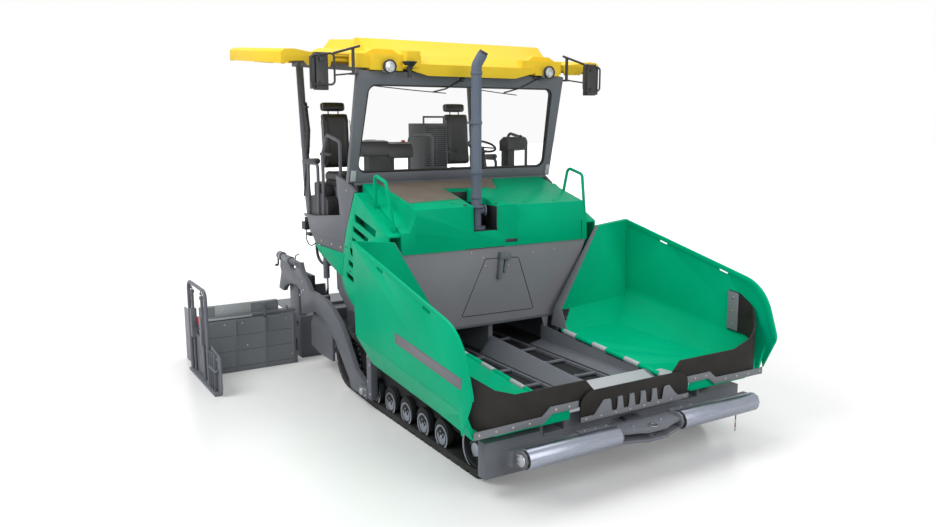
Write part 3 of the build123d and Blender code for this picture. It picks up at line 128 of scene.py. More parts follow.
def make_finish(name, clouds, tones, gloss, patches=None, grain=None, relief=0.0001, stops=(0.35, 0.65)):
    """A material with its colour between two tones over the clouds, its roughness between two over the
    patches and a relief in metres from the grain; each is a noise's settings, or else the clouds again."""
    material, add, link, shader = blank_material(name)
    clouds = noise(add, link, *clouds)
    link(ramp(add, link, clouds, *tones, *stops), shader.inputs["Base Color"])
    patches = noise(add, link, *patches) if patches else clouds
    link(spread(add, link, patches, *gloss), shader.inputs["Roughness"])
    bump = add("ShaderNodeBump")
    bump.inputs["Distance"].default_value = relief
    bump.inputs["Strength"].default_value = 1.0
    link(noise(add, link, *grain) if grain else clouds, bump.inputs["Height"])
    link(bump.outputs["Normal"], shader.inputs["Normal"])
    return material, shader.inputs


def make_paint(name, colour, roughness=0.38, coat=0.02, cloud=0.06, peel=0.0001, gloss=0.22):
    """Sprayed paint: slight clouds in its colour, an uneven gloss and a fine orange peel."""
    tones = times(colour, 1 - cloud), times(colour, 1 + cloud)
    uneven = roughness - 0.06, roughness + 0.08
    material, inputs = make_finish(name, (1.3, 4), tones, uneven, (9, 5), (420, 2), peel)
    inputs["Specular IOR Level"].default_value = gloss
    inputs["IOR"].default_value = PAINT_IOR
    inputs["Coat Weight"].default_value = coat
    inputs["Coat Roughness"].default_value = 0.15
    return material


def make_metal(name, colour, roughness=0.32, stretch=(1, 60, 60)):
    """Bare metal with drawn or turned streaks along one axis."""
    tones = times(colour, 0.8), colour
    material, inputs = make_finish(name, (6, 6, stretch), tones, (roughness - 0.08, roughness + 0.12))
    inputs["Metallic"].default_value = 1.0
    return material


def make_rubber(name, colour, dust, roughness=0.6):
    """Rubber with a dusty bloom and a cloth-like grain."""
    uneven = roughness - 0.08, roughness + 0.15
    material, inputs = make_finish(
        name, (3.5, 6), (colour, dust), uneven, grain=(260, 4), relief=0.0005, stops=(0.4, 0.85)
    )
    inputs["Specular IOR Level"].default_value = RUBBER_GLOSS
    return material


def make_plastic(name, colour, roughness=0.5, grain=700):
    """Moulded plastic with a fine leathery grain."""
    tones = times(colour, 0.85), times(colour, 1.15)
    uneven = roughness - 0.06, roughness + 0.06
    return make_finish(name, (5, 3), tones, uneven, grain=(grain, 2), relief=0.0003)[0]


def make_glass(name, colour, alpha):
    """Clear sheet glass with a faint tint that is slightly uneven."""
    material, add, link, shader = blank_material(name)
    tint = noise(add, link, scale=2, detail=2)
    link(ramp(add, link, tint, times(colour, 0.96), colour), shader.inputs["Base Color"])
    shader.inputs["Roughness"].default_value = GLASS_ROUGHNESS
    shader.inputs["Alpha"].default_value = alpha
    return material


finishes = {
    "paint_green": make_paint("green_paint", (0.0, 0.4, 0.2), coat=0.01, gloss=0.1),
    "paint_dark": make_paint("grey_paint", (0.15, 0.159, 0.18), roughness=0.42, coat=0.03),
    "paint_light": make_paint("light_paint", (0.42, 0.44, 0.46), roughness=0.4, coat=0.1),
    "paint_middle": make_paint("middle_grey_paint", (0.19, 0.2, 0.22)),
    "paint_wall": make_paint("wall_grey_paint", (0.26, 0.25, 0.28)),
    "paint_black": make_paint("black_paint", (0.03, 0.031, 0.033), roughness=0.5),
    "roof_yellow": make_paint("yellow_moulding", (0.86, 0.59, 0.04), 0.45, 0.02, 0.03, 0.00005, gloss=0.15),
    "steel": make_metal("worn_steel", (0.46, 0.47, 0.5)),
    "rod_chrome": make_metal("hard_chrome", (0.78, 0.78, 0.8), roughness=0.12, stretch=(20, 20, 1)),
    "rubber_flap": make_rubber("rubber_sheet", (0.016, 0.0145, 0.013), (0.034, 0.031, 0.028)),
    "track_rubber": make_rubber("belt_rubber", (0.02, 0.02, 0.02), (0.05, 0.05, 0.05)),
    "glass_clear": make_glass("window_glass", (0.28, 0.31, 0.31), alpha=0.03),
    "plastic_black": make_plastic("black_plastic", (0.022, 0.022, 0.024)),
    "seat_vinyl": make_plastic("black_vinyl", (0.02, 0.02, 0.022), roughness=0.42, grain=420),
    "lamp_lens": make_glass("lamp_lens", (0.9, 0.92, 0.93), alpha=0.35),
    "mirror_glass": make_metal("mirror_silver", (0.85, 0.87, 0.88), roughness=0.1, stretch=(1, 1, 1)),
    "reflector_red": make_plastic("red_reflector", (0.5, 0.01, 0.01), roughness=0.2, grain=90),
    "black": make_plastic("black_rubber", (0.012, 0.012, 0.013), roughness=0.45, grain=500),
    "zinc": make_metal("zinc_plate", (0.55, 0.5, 0.38), roughness=0.35, stretch=(8, 8, 8)),
    "heat_shield": make_paint("heat_shield_steel", (0.125, 0.152, 0.2), roughness=0.42, coat=0.05, cloud=0.1),
    "mat": make_rubber("step_mat", (0.17, 0.15, 0.128), (0.225, 0.2, 0.175), roughness=0.8),
    "roller_steel": make_metal("rolled_steel", (0.32, 0.345, 0.41), roughness=0.3, stretch=(2, 40, 40)),
    "stripe": make_paint("stripe_grey", (0.165, 0.168, 0.19), roughness=0.35, coat=0.2),
    "stripe_edge": make_paint("stripe_edge", (0.2, 0.11, 0.14), roughness=0.4, coat=0.1),
    "seat_piping": make_plastic("light_piping", (0.35, 0.35, 0.36), roughness=0.45),
}
# nodes whose finish isn't their slot's plain one, without _left and _right
node_finish = {
    "exhaust_pipe": "heat_shield", "apron_clamp": "paint_middle", "wing_clamp": "paint_middle",
    "screed_extension": "paint_middle", "conveyor_covers": "paint_dark", "conveyor_slats": "paint_dark",
    "conveyor_floor": "paint_black", "undercarriage": "paint_black", "push_roller": "roller_steel",
    "hopper_rear_wall": "paint_wall",
}


def paint(obj, finish):
    """Give a piece or node one finish in its material slots."""
    obj.data.materials.clear()
    obj.data.materials.append(finishes[finish])


# ---- softened edges
SHARP = math.radians(32)  # faces that meet at more than this have an edge between them
FLAT = math.radians(0.5)  # faces that meet at less than this are one
SAME_PLACE = 0.00002
NODE_EDGE = 0.003  # radius of a node's edges where edge_radius doesn't say
edge_radius = {
    "hood": 0.012, "side_panels": 0.008, "canopy_roof": 0.012, "awning": 0.006, "windscreen_frame": 0.005,
    "windscreen_glass": 0, "track": 0.004,
}


def make_smoothing():
    """A node group that shades smooth except across sharp edges."""
    group = bpy.data.node_groups.new("smooth_by_angle", "GeometryNodeTree")
    group.interface.new_socket("Geometry", in_out="INPUT", socket_type="NodeSocketGeometry")
    group.interface.new_socket("Geometry", in_out="OUTPUT", socket_type="NodeSocketGeometry")
    add, link = group.nodes.new, group.links.new
    source, result = add("NodeGroupInput"), add("NodeGroupOutput")
    faces, edges = add("GeometryNodeSetShadeSmooth"), add("GeometryNodeSetShadeSmooth")
    edges.domain = "EDGE"
    edges.inputs["Shade Smooth"].default_value = False
    angle, sharp = add("GeometryNodeInputMeshEdgeAngle"), add("FunctionNodeCompare")
    sharp.operation = "GREATER_THAN"
    sharp.inputs["B"].default_value = SHARP
    link(angle.outputs["Unsigned Angle"], sharp.inputs["A"])
    link(source.outputs["Geometry"], faces.inputs["Geometry"])
    link(faces.outputs["Geometry"], edges.inputs["Geometry"])
    link(sharp.outputs["Result"], edges.inputs["Selection"])
    link(edges.outputs["Geometry"], result.inputs["Geometry"])
    return group


smoothing = make_smoothing()


def soften(obj, radius):
    """Round a piece's sharp edges by modifiers, which leave its own mesh as it is."""
    weld = obj.modifiers.new("weld", "WELD")
    weld.merge_threshold = SAME_PLACE
    flat = obj.modifiers.new("merge_flat_faces", "DECIMATE")
    flat.decimate_type = "DISSOLVE"
    flat.angle_limit = FLAT
    if radius:
        edge = obj.modifiers.new("edge", "BEVEL")
        edge.width = radius
        edge.segments = 2
        edge.limit_method = "ANGLE"
        edge.angle_limit = SHARP
        edge.use_clamp_overlap = True
        edge.miter_outer = "MITER_ARC"
    shade = obj.modifiers.new("shade", "NODES")
    shade.node_group = smoothing


slot_of = {row["node"]: row["material_slot"] for row in frame["record"]["subparts"]}
for name, node in frame["nodes"].items():
    kind = name.removesuffix("_left").removesuffix("_right")
    paint(node, node_finish.get(kind, slot_of[name]))
    soften(node, edge_radius.get(kind, NODE_EDGE))


# ---- fittings
REAR_ZERO = 2695  # aft distance, in mm from the hopper's front edge, of the frame's own zero
FRONT, REAR, UP, DOWN, OUT, IN = (0, -1, 0), (0, 1, 0), (0, 0, 1), (0, 0, -1), (1, 0, 0), (-1, 0, 0)
BOTH = (1, -1)  # the left side as it is drawn, then the right side as its mirror image
SIDES = (("left", 1), ("right", -1))


def face(node, side):
    """Where a face of a node's box lies at rest, in the fittings' millimetres."""
    axis, end = {"left": (0, 1), "front": (1, 0), "bottom": (2, 0), "top": (2, 1)}[side]
    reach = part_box(node)[end][axis] * 1000
    return reach + REAR_ZERO if axis == 1 else reach


def circle(centre, radius, count, start=0.0, plane=(1, 2)):
    """Evenly spread places round a centre, in the plane of two axes."""
    for turn in range(count):
        angle = start + math.tau * turn / count
        place = list(centre)
        place[plane[0]] += radius * math.cos(angle)
        place[plane[1]] += radius * math.sin(angle)
        yield place


class Fittings:
    """Fittings of one finish on one body, gathered into one mesh; places are (x, aft, z) in mm."""

    made = []

    def __init__(self, name, finish, body="tractor", edge=0.8, mirror=1):
        self.finish, self.edge, self.mirror = finish, edge, mirror
        self.mesh = bmesh.new()
        self.piece = add_object(name, bpy.data.meshes.new(name))
        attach(self.piece, body)
        Fittings.made.append(self)

    def close(self):
        """Hand the gathered faces to the piece and finish it."""
        bmesh.ops.recalc_face_normals(self.mesh, faces=self.mesh.faces)
        self.mesh.to_mesh(self.piece.data)
        self.mesh.free()
        paint(self.piece, self.finish)
        soften(self.piece, self.edge / 1000)

    def at(self, place):
        return Vector((place[0] * self.mirror, place[1] - REAR_ZERO, place[2])) / 1000

    def way(self, direction):
        return Vector((direction[0] * self.mirror, direction[1], direction[2]))

    def skin(self, rings, loop=False):
        """Faces over a row of rings of points, with ends closed or the last ring joined to the first."""
        rows = [[self.mesh.verts.new(point) for point in ring] for ring in rings]
        pairs = list(zip(rows, rows[1:])) + ([(rows[-1], rows[0])] if loop else [])
        for low, high in pairs:
            for near in range(len(low)):
                far = (near + 1) % len(low)
                self.mesh.faces.new((low[near], low[far], high[far], high[near]))
        if not loop:
            self.mesh.faces.new(rows[0][::-1])
            self.mesh.faces.new(rows[-1])

    def block(self, xs, afts, zs):
        corners = ((xs[0], afts[0]), (xs[1], afts[0]), (xs[1], afts[1]), (xs[0], afts[1]))
        self.skin([[self.at((x, aft, z)) for x, aft in corners] for z in zs])

    def plate(self, outline, depth):
        """A flat plate from its outline and the vector through its thickness."""
        low = [self.at(place) for place in outline]
        through = self.way(depth) / 1000
        self.skin([low, [point + through for point in low]])

    def strip(self, places, width, depth):
        """A flat band along a row of places that lie in one plane; depth is the vector out of it."""
        line = [self.at(place) for place in places]
        through = self.way(depth) / 1000
        rings = []
        for index, point in enumerate(line):
            before = (point - line[max(index - 1, 0)]).normalized()
            after = (line[min(index + 1, len(line) - 1)] - point).normalized()
            along = (before + after).normalized()
            mitre = 1 / max(along.dot(before if index else after), 0.3)
            side = along.cross(through).normalized() * width * mitre / 2000
            rings.append([point + side, point - side, point - side + through, point + side + through])
        self.skin(rings)

    def turned(self, place, direction, profile, sides=28, loop=False):
        """A turned shape from (reach along the axis, radius) pairs."""
        origin, axis = self.at(place), self.way(direction).normalized()
        first = axis.orthogonal().normalized()
        second = axis.cross(first)
        angles = [math.tau * turn / sides for turn in range(sides)]
        spokes = [first * math.cos(angle) + second * math.sin(angle) for angle in angles]
        rings = []
        for reach, radius in profile:
            rings.append([origin + (axis * reach + spoke * radius) / 1000 for spoke in spokes])
        self.skin(rings, loop)

    def rod(self, start, end, radius, sides=20):
        along = Vector(end) - Vector(start)
        self.turned(start, along, [(0, radius), (along.length, radius)], sides)

    def ring(self, place, direction, outer, inner, depth):
        self.turned(place, direction, [(0, inner), (0, outer), (depth, outer), (depth, inner)], 40, True)

    def bolt(self, place, direction, size):
        """A hexagon head on its washer, standing out along the direction."""
        self.turned(place, direction, [(-1, size * 1.6), (size * 0.25, size * 1.6)], 20)
        self.turned(place, direction, [(size * 0.2, size), (size * 0.85, size), (size, size * 0.84)], 6)

    def tube(self, places, radius, sides=12):
        """A round bar along straight runs, mitred at its corners."""
        line = [self.at(place) for place in places]
        runs = [(after - before).normalized() for before, after in zip(line, line[1:])]
        side = runs[0].orthogonal().normalized()
        rings = []
        for index, point in enumerate(line):
            run = runs[max(index - 1, 0)]
            if index > 1:
                side = runs[index - 2].rotation_difference(run) @ side
            mitre = (run + runs[min(index, len(runs) - 1)]).normalized()
            other = run.cross(side)
            ring = []
            for turn in range(sides):
                angle = math.tau * turn / sides
                spoke = (side * math.cos(angle) + other * math.sin(angle)) * radius / 1000
                ring.append(point + spoke - run * spoke.dot(mitre) / run.dot(mitre))
            rings.append(ring)
        self.skin(rings)


# ---- hopper
APRON_FRONT = face("apron_clamp", "front")
SEAL_FRONT = face("wing_clamp_left", "front")
WING_SIDE = face("hopper_wing_left", "left")
HINGE_X = 655  # the line that a wing folds about


def fold_place(aft):
    """A place on the wing's fold line."""
    return HINGE_X, aft, 569 + 0.066 * aft


apron = Fittings("apron_bolts", "zinc")
for x in range(-539, 540, 154):
    apron.bolt((x, APRON_FRONT, 529), FRONT, 6)

fingers = Fittings("apron_fingers", "paint_middle", edge=2)
finger_side = [(44, 548), (34, 575), (24, 645), (12, 660)]  # half width, height
last_finger = [(268, 548), (278, 575), (288, 645), (300, 660), (324, 660), (345, 642), (470, 548)]
outlines = []
for middle in (62.5, 187.5):
    outlines.append([(middle - half, z) for half, z in finger_side])
    outlines[-1] += [(middle + half, z) for half, z in finger_side[::-1]]
for fingers.mirror in BOTH:
    for outline in (*outlines, last_finger):
        fingers.plate([(x, APRON_FRONT, z) for x, z in outline], (0, -3.5, 0))

sleeves = Fittings("hinge_sleeves", "paint_light")
sleeve_length, sleeve_radius = 198, 24.9
for sleeves.mirror in BOTH:
    for middle in (235, 700, 1165, 1630):
        low, high = middle - sleeve_length / 2, middle + sleeve_length / 2
        sleeves.rod(fold_place(low), fold_place(high), sleeve_radius, 28)


def lip_place(x, aft):
    """A place on the sloping lip at the front of the wing's floor."""
    return x, aft, 554.5 + 0.1175 * (aft - 27) + 0.0099 * (x - HINGE_X)


SEAL_INWARD = Vector((-0.893, 0, 0.451))  # square to the wing's slanted inner edge


def seal_place(z):
    """A place on the plate that holds the rear seal, along the wing's slanted inner edge."""
    return Vector((693 + (z - 690) * 0.5048, 1938, z))


for side, sx in SIDES:
    wing = "wing_" + side
    bolts = Fittings("wing_bolts_" + side, "zinc", wing, mirror=sx)
    for x, z in ((690, 655), (820, 655), (1070, 588), (1220, 588), (1370, 588), (1520, 588)):
        bolts.bolt((x, SEAL_FRONT, z), FRONT, 6)
    for z in (930, 1060, 1190):
        bolts.bolt((1600, 360, z), IN, 8)

    corners = [(WING_SIDE, aft, z) for aft, z in ((1068, 1046), (13, 941), (-9, 1018), (1066, 1123))]
    stripe = Fittings("wing_stripe_" + side, "stripe", wing, 0.2, sx)
    stripe.plate(corners, (1.2, 0, 0))
    border = Fittings("wing_stripe_edge_" + side, "stripe_edge", wing, 0.2, sx)
    border.strip(corners + corners[:1], 7, (1.8, 0, 0))

    lip = Fittings("wing_lip_plate_" + side, "paint_light", wing, 0.5, sx)
    lip.plate([lip_place(x, aft) for x, aft in ((690, 45), (690, 430), (760, 430), (930, 60))], (0, 0, 3))

    seals = Fittings("seal_brackets_" + side, "paint_dark", wing, mirror=sx)
    slots = Fittings("seal_bracket_slots_" + side, "black", wing, 0.2, sx)
    for low, high in ((1205, 1420), (880, 1020)):
        start, end = seal_place(low), seal_place(high)
        seals.strip([start - SEAL_INWARD * 2, end - SEAL_INWARD * 2], 44, SEAL_INWARD * 16)
        slots.strip([start.lerp(end, 0.14), start.lerp(end, 0.86)], 15, SEAL_INWARD * 15)
        for share in (-0.12, 1.12):
            slots.bolt(start.lerp(end, share), SEAL_INWARD, 7)

CHAIN_START, CHAIN_PITCH, CHAIN_LINKS = 215, 38, 50
CHEEK, PIN_REACH = 3, 20  # thickness of a link's cheek, and a pin's reach to each side
chain = Fittings("conveyor_chain_links", "paint_dark", edge=0)
for chain.mirror in BOTH:
    for track in (185, 465):
        for link in range(CHAIN_LINKS):
            aft = CHAIN_START + link * CHAIN_PITCH
            outward = CHEEK if link % 2 else 0  # every other link goes outside its neighbours
            for x in (track - 16 - outward, track + 13 + outward):
                chain.block((x, x + CHEEK), (aft + 2, aft + CHAIN_PITCH + 10), (443, 470))
            chain.turned((track - PIN_REACH, aft + 6, 462), OUT, [(0, 7), (2 * PIN_REACH, 7)], 8)

ribs = Fittings("conveyor_wear_strips", "paint_light", edge=1)
for ribs.mirror in BOTH:
    ribs.block((212, 438), (205, 300), (440, 446))

front_plate = Fittings("front_plate_skin", "paint_light", edge=0.5)
slope = [(62, 547.4), (331, 564.4), (488, 610.6)]  # aft, height
for (near, low), (far, high) in zip(slope, slope[1:]):
    front_plate.plate([(-586, near, low), (586, near, low), (586, far, high), (-586, far, high)], (0, 0, 2.5))

# ---- the hopper's rear wall, with its door and hook
WALL_TOP = face("hopper_rear_wall", "top")
WALL_FRONT = face("hopper_rear_wall", "front")


def wall_place(x, z, out=0):
    """A place on the rear wall's front face, which leans forward, or that far in front of it."""
    return x, WALL_FRONT + (WALL_TOP - z) * 136 / 840 - out, z


door = Fittings("rear_wall_door_gap", "black", edge=0.2)
outline = [
    (-150, 1484), (-165, 1476), (-379, 902), (-370, 888), (490, 876), (503, 892), (250, 1456), (225, 1469),
]
door.strip([wall_place(x, z, -0.5) for x, z in outline + outline[:1]], 8, (0, -1.5, 0))

hook = Fittings("rear_wall_hook", "paint_middle", edge=2)
for outline, depth in (
    (((-10, 1545), (-10, 1470), (110, 1455), (110, 1530)), (0, -62, 6)),
    (((-6, 1480), (-6, 1268), (20, 1255), (34, 1300), (34, 1475)), (0, -48, 0)),
    (((62, 1470), (52, 1340), (80, 1320), (96, 1465)), (0, -36, 0)),
):
    hook.plate([wall_place(x, z) for x, z in outline], depth)
hook.bolt(wall_place(50, 1500, 62), FRONT, 10)

studs = Fittings("rear_wall_bolts", "zinc")
for x, z in ((-190, 1500), (-150, 1410), (430, 1500), (130, 1390), (-334, 1560), (700, 1520)):
    studs.bolt(wall_place(x, z), FRONT, 5)

shades = Fittings("rear_wall_fold_shade", "paint_dark", edge=1)
shades.plate([wall_place(x, z) for x, z in ((-878, 762), (-878, 790), (878, 790), (878, 762))], (0, -7, 0))

# ---- hood
HOOD_FRONT = face("hood", "front")
RAISED_TO = 208  # the raised part of the hood's top ends here, left of the middle


def hood_place(x, aft, lift=0):
    """A place on the hood's top: the raised part on the machine's right, the lower one on its left."""
    if x <= RAISED_TO:
        return x, aft, 2025 + (aft - 2000) * 195 / 840 + lift
    return x, aft, 2005 + (aft - 2050) * 215 / 790 + lift


mat = Fittings("hood_step_mat", "mat", edge=0.5)
for outline in (
    ((-923, 2185), (-325, 2238), (-325, 2572), (206, 2542), (206, 2835), (-940, 2835)),
    ((209, 2542), (311, 2536), (443, 2832), (209, 2832)),
):
    mat.plate([hood_place(x, aft, 0.3) for x, aft in outline], (0, 0, 3))

gaps = Fittings("hood_gaps", "black", edge=0.2)
for line in (
    ((-930, 2168), (-310, 2222), (-310, 2558), (205, 2528)),
    ((212, 2527), (330, 2520), (462, 2832)),
):
    gaps.strip([hood_place(x, aft, -0.2) for x, aft in line], 5, (0, -0.2, 1))
for xs, out, depth, zs in (
    ((-46, -42), 0.6, 8, (1771, 1800)),
    ((60, 205), 0.8, 5, (1640, 1672)),
    ((-420, 40), 0.8, 5, (1600, 1606)),
    ((1038, 1042), 0.8, 5, (1602, 1806)),
):
    gaps.block(xs, (HOOD_FRONT - out, HOOD_FRONT + depth), zs)

sockets = Fittings("hood_sockets", "black", edge=0.8)
for x in (-380, -20):
    sockets.turned(hood_place(x, 2030), (0, -0.23, 1), [(0, 20), (3, 20), (3, 12), (1, 11), (1, 4)])
for x, aft in ((-930, 2100), (-470, 2110), (390, 2120), (760, 2110), (830, 2420), (560, 2640)):
    sockets.bolt(hood_place(x, aft), (0, -0.23, 1), 5)

# ---- exhaust
PIPE_X, PIPE_AFT = -178, 2150
BEND = Vector((PIPE_X, PIPE_AFT, 3390))
TIP = Vector((-130, 2110, 3500))
FLANGE = (PIPE_X, 2210, 1900)

# painted shade: thin black sheets over the walls and floor of the exhaust's recess in the hood darken it
recess = Fittings("exhaust_recess_painted_shade", "black", edge=0.5)
for xs, afts, zs in (
    ((-309.5, -307), (1968, 2548), (1771.5, 2012)),
    ((-49, -46.5), (1968, 2548), (1771.5, 2012)),
    ((-307, -49), (2546, 2549.4), (1771.5, 2120)),
    ((-307, -49), (1985, 2546), (1771.2, 1772.2)),
):
    recess.block(xs, afts, zs)

clamps = Fittings("exhaust_clamps", "heat_shield", edge=1)
for z in (2818, 3300, 2080):
    clamps.ring((PIPE_X, PIPE_AFT, z), UP, 59, 51.5, 34)
clamps.block((-255, -232), (2138, 2162), (2820, 2850))
clamps.rod((-275, PIPE_AFT, 2835), (-225, PIPE_AFT, 2835), 5)
clamps.bolt((-275, PIPE_AFT, 2835), IN, 7)
clamps.ring(FLANGE, REAR, 86, 59, 14)
clamps.rod((PIPE_X, 2140, 1962), (-100, 2112, 1962), 36)
clamps.turned((-104, 2113, 1962), (1, -0.35, 0), [(0, 58), (12, 58), (14, 40), (18, 38)], 32)
for place in circle(FLANGE, 74, 8, plane=(0, 2)):
    clamps.bolt(place, FRONT, 6)

soot = Fittings("exhaust_soot", "black", edge=0.3)
outlet = (TIP - BEND).normalized()
soot.ring(TIP - outlet * 30, outlet, 46, 44.6, 56)
soot.turned(TIP - outlet * 32, outlet, [(0, 45), (2, 45)])

# ---- windscreen
LEAN = math.radians(13.5)  # top forward
SCREEN_AFT, SCREEN_FOOT = 2890, 2240


def screen_place(x, height, out):
    """A place on the windscreen: across, up along the screen, and out of its middle plane."""
    aft = SCREEN_AFT - height * math.sin(LEAN) - out * math.cos(LEAN)
    return x, aft, SCREEN_FOOT + height * math.cos(LEAN) - out * math.sin(LEAN)


def glass_place(x, z, out):
    """A place in front of the windscreen, from a height above the ground."""
    return screen_place(x, (z - SCREEN_FOOT) / math.cos(LEAN), out)


seal = Fittings("windscreen_seal", "black", edge=3)
corner, bend_radius = 92, 84  # the bends' centres lie this far in from the glass's corners
for out in (4, -4):
    places = []
    for begin, across, up, height, half in (
        (180, -1, -1, 96, 1169), (270, 1, -1, 96, 1169), (0, 1, 1, 1000, 1122), (90, -1, 1, 1000, 1122),
    ):
        for step in range(7):
            angle = math.radians(begin + step * 15)
            x = across * (half - corner) + bend_radius * math.cos(angle)
            places.append(screen_place(x, height - up * corner + bend_radius * math.sin(angle), out))
    depth = Vector((0, -math.cos(LEAN), -math.sin(LEAN))) * (9 if out > 0 else -9)
    seal.strip(places + places[:1], 22, depth)

wipers = Fittings("wipers", "black", edge=0.6)
for blade, joint, pivot in (
    (((-1047, 3195), (-640, 3163), (-232, 3138)), (-392, 3150), (-72, 3283)),
    (((200, 3177), (430, 3153), (656, 3134)), (481, 3158), (908, 3324)),
):
    wipers.tube([glass_place(x, z, 14) for x, z in blade], 5, 8)
    wipers.strip([glass_place(x, z, 5) for x, z in blade], 5, (0, -8, -2))
    elbow = Vector(joint).lerp(Vector(pivot), 0.45) - Vector((0, 22))
    wipers.tube([glass_place(*joint, 22), glass_place(*elbow, 34), glass_place(*pivot, 40)], 8, 8)
    wipers.turned(glass_place(*pivot, 28), FRONT, [(0, 26), (22, 24), (26, 16)], 24)
    wipers.block((pivot[0] - 80, pivot[0] + 80), (2585, 2625), (3306, 3340))

lugs = Fittings("windscreen_lugs", "paint_light", edge=2)
for lugs.mirror in BOTH:
    lugs.strip([screen_place(1215, 20, 30), screen_place(1215, 130, 30)], 52, (0, -16, -3))
    lugs.bolt(screen_place(1215, 75, 46), FRONT, 8)

# ---- seats
SEATS = {"right": -905, "left": 700}
SHRINK = {1: 0, 2: 5, 3: 11}  # how far a box form's faces, edges and corners are pulled in


def box_form(mesh, xs, afts, zs, cuts):
    """A closed box of small quads with its edges and corners pulled in a little."""
    grid = {}
    for key in itertools.product(*(range(cut + 1) for cut in cuts)):
        ends = sum(n in (0, cut) for n, cut in zip(key, cuts))
        if not ends:
            continue
        place = []
        for n, cut, (low, high) in zip(key, cuts, (xs, afts, zs)):
            value = low + (high - low) * n / cut
            place.append(value + SHRINK[ends] if n == 0 else value - SHRINK[ends] if n == cut else value)
        grid[key] = mesh.verts.new((place[0] / 1000, (place[1] - REAR_ZERO) / 1000, place[2] / 1000))
    for axis in range(3):
        first, second = [n for n in range(3) if n != axis]
        for end in (0, cuts[axis]):
            for i, j in itertools.product(range(cuts[first]), range(cuts[second])):
                corners = []
                for a, b in ((i, j), (i + 1, j), (i + 1, j + 1), (i, j + 1)):
                    key = [0, 0, 0]
                    key[axis], key[first], key[second] = end, a, b
                    corners.append(grid[tuple(key)])
                mesh.faces.new(corners)


def lean_back(mesh, start, hinge_aft, hinge_z, angle):
    """Turn the vertices made since start about a line across the seat."""
    verts = list(mesh.verts)[start:]
    centre = Vector((0, (hinge_aft - REAR_ZERO) / 1000, hinge_z / 1000))
    bmesh.ops.rotate(mesh, verts=verts, cent=centre, matrix=Matrix.Rotation(math.radians(-angle), 3, "X"))


def swell(piece, voxel, pressure, cap):
    """Fill a closed cloth form with air and keep its new shape."""
    remesh = piece.modifiers.new("remesh", "REMESH")
    remesh.mode, remesh.voxel_size = "VOXEL", voxel
    bpy.context.view_layer.objects.active = piece
    piece.select_set(True)
    bpy.ops.object.modifier_apply(modifier=remesh.name)
    before = [vertex.co.copy() for vertex in piece.data.vertices]
    cloth = piece.modifiers.new("cloth", "CLOTH")
    cloth.settings.quality = 4
    cloth.settings.use_pressure = True
    cloth.settings.uniform_pressure_force = pressure
    cloth.settings.effector_weights.gravity = 0
    scene = bpy.context.scene
    for number in range(1, 21):
        scene.frame_set(number)
    bpy.ops.object.modifier_apply(modifier=cloth.name)
    scene.frame_set(1)
    for vertex, start in zip(piece.data.vertices, before):
        move = vertex.co - start
        if move.length > cap:
            vertex.co = start + move * cap / move.length
    piece.select_set(False)


def both_sides(middle, near, far):
    """The (low, high) reach of a form on each side of a seat's middle."""
    return (middle - far, middle - near), (middle + near, middle + far)


def make_cushions(name, middle):
    """Seat cushion, backrest and headrest of one seat as padded forms, the first two with side bolsters."""
    mesh = bmesh.new()
    box_form(mesh, (middle - 178, middle + 178), (3505, 3985), (2190, 2280), (12, 16, 4))
    for xs in both_sides(middle, 118, 182):
        box_form(mesh, xs, (3500, 3960), (2200, 2288), (3, 16, 4))
    start = len(mesh.verts)
    box_form(mesh, (middle - 160, middle + 160), (3975, 4062), (2318, 2948), (12, 4, 20))
    for xs in both_sides(middle, 104, 166):
        box_form(mesh, xs, (3965, 4055), (2330, 2900), (3, 4, 18))
    lean_back(mesh, start, 3970, 2300, 4)
    start = len(mesh.verts)
    box_form(mesh, (middle - 142, middle + 142), (4068, 4138), (2964, 3060), (10, 4, 5))
    lean_back(mesh, start, 4100, 3000, 8)
    bmesh.ops.recalc_face_normals(mesh, faces=mesh.faces)
    data = bpy.data.meshes.new(name)
    mesh.to_mesh(data)
    mesh.free()
    piece = add_object(name, data)
    swell(piece, voxel=0.012, pressure=4, cap=0.012)
    for polygon in piece.data.polygons:
        polygon.use_smooth = True
    smooth = piece.modifiers.new("smooth", "SUBSURF")
    smooth.levels = smooth.render_levels = 1
    paint(piece, "seat_vinyl")
    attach(piece, "tractor")
    return piece


cushions = {side: make_cushions("seat_cushions_" + side, middle) for side, middle in SEATS.items()}
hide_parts("operator_seats")

bases = Fittings("seat_bases", "plastic_black", edge=4)
piping = Fittings("seat_piping", "seat_piping", edge=1)
for middle in SEATS.values():
    bases.block((middle - 165, middle + 165), (3520, 3960), (2160, 2192))
    bases.block((middle - 185, middle + 185), (3490, 3990), (2151, 2166))
    for sign, (low, high) in zip((-1, 1), both_sides(middle, 186, 215)):
        bases.block((low, high), (3660, 3990), (2470, 2502))
        bases.block((low + 4, high - 4), (3930, 3975), (2300, 2475))
        stay, back, head = middle + sign * 60, middle + sign * 166, middle + sign * 128
        bases.rod((stay, 4078, 2900), (stay, 4096, 2985), 7, 12)
        piping.tube([(back, 3968, 2340), (back, 3998, 2860)], 5, 8)
        piping.tube([(head, 4070, 2985), (head, 4074, 3050)], 4, 8)

# ---- console, wheel and cabinet
controls = Fittings("console_controls", "plastic_black", edge=1.5)
for x, z in ((-655, 2600), (1100, 2650)):
    controls.rod((x, 3215, z - 30), (x, 3212, z + 16), 7, 12)
    controls.turned((x, 3212, z + 14), UP, [(0, 8), (5, 17), (18, 17), (26, 9)], 20)
controls.block((-880, -760), (3262, 3290), (2625, 2655))
controls.block((-640, -400), (3215, 3232), (2602, 2628))

screens = Fittings("console_screens", "paint_light", edge=2)
for low, high, z in ((-960, -675, 2638), (-645, -380, 2612)):
    screens.plate([(low, 3183, z), (low, 3250, z + 8), (high, 3250, z + 8), (high, 3183, z)], (0, 0, 5))

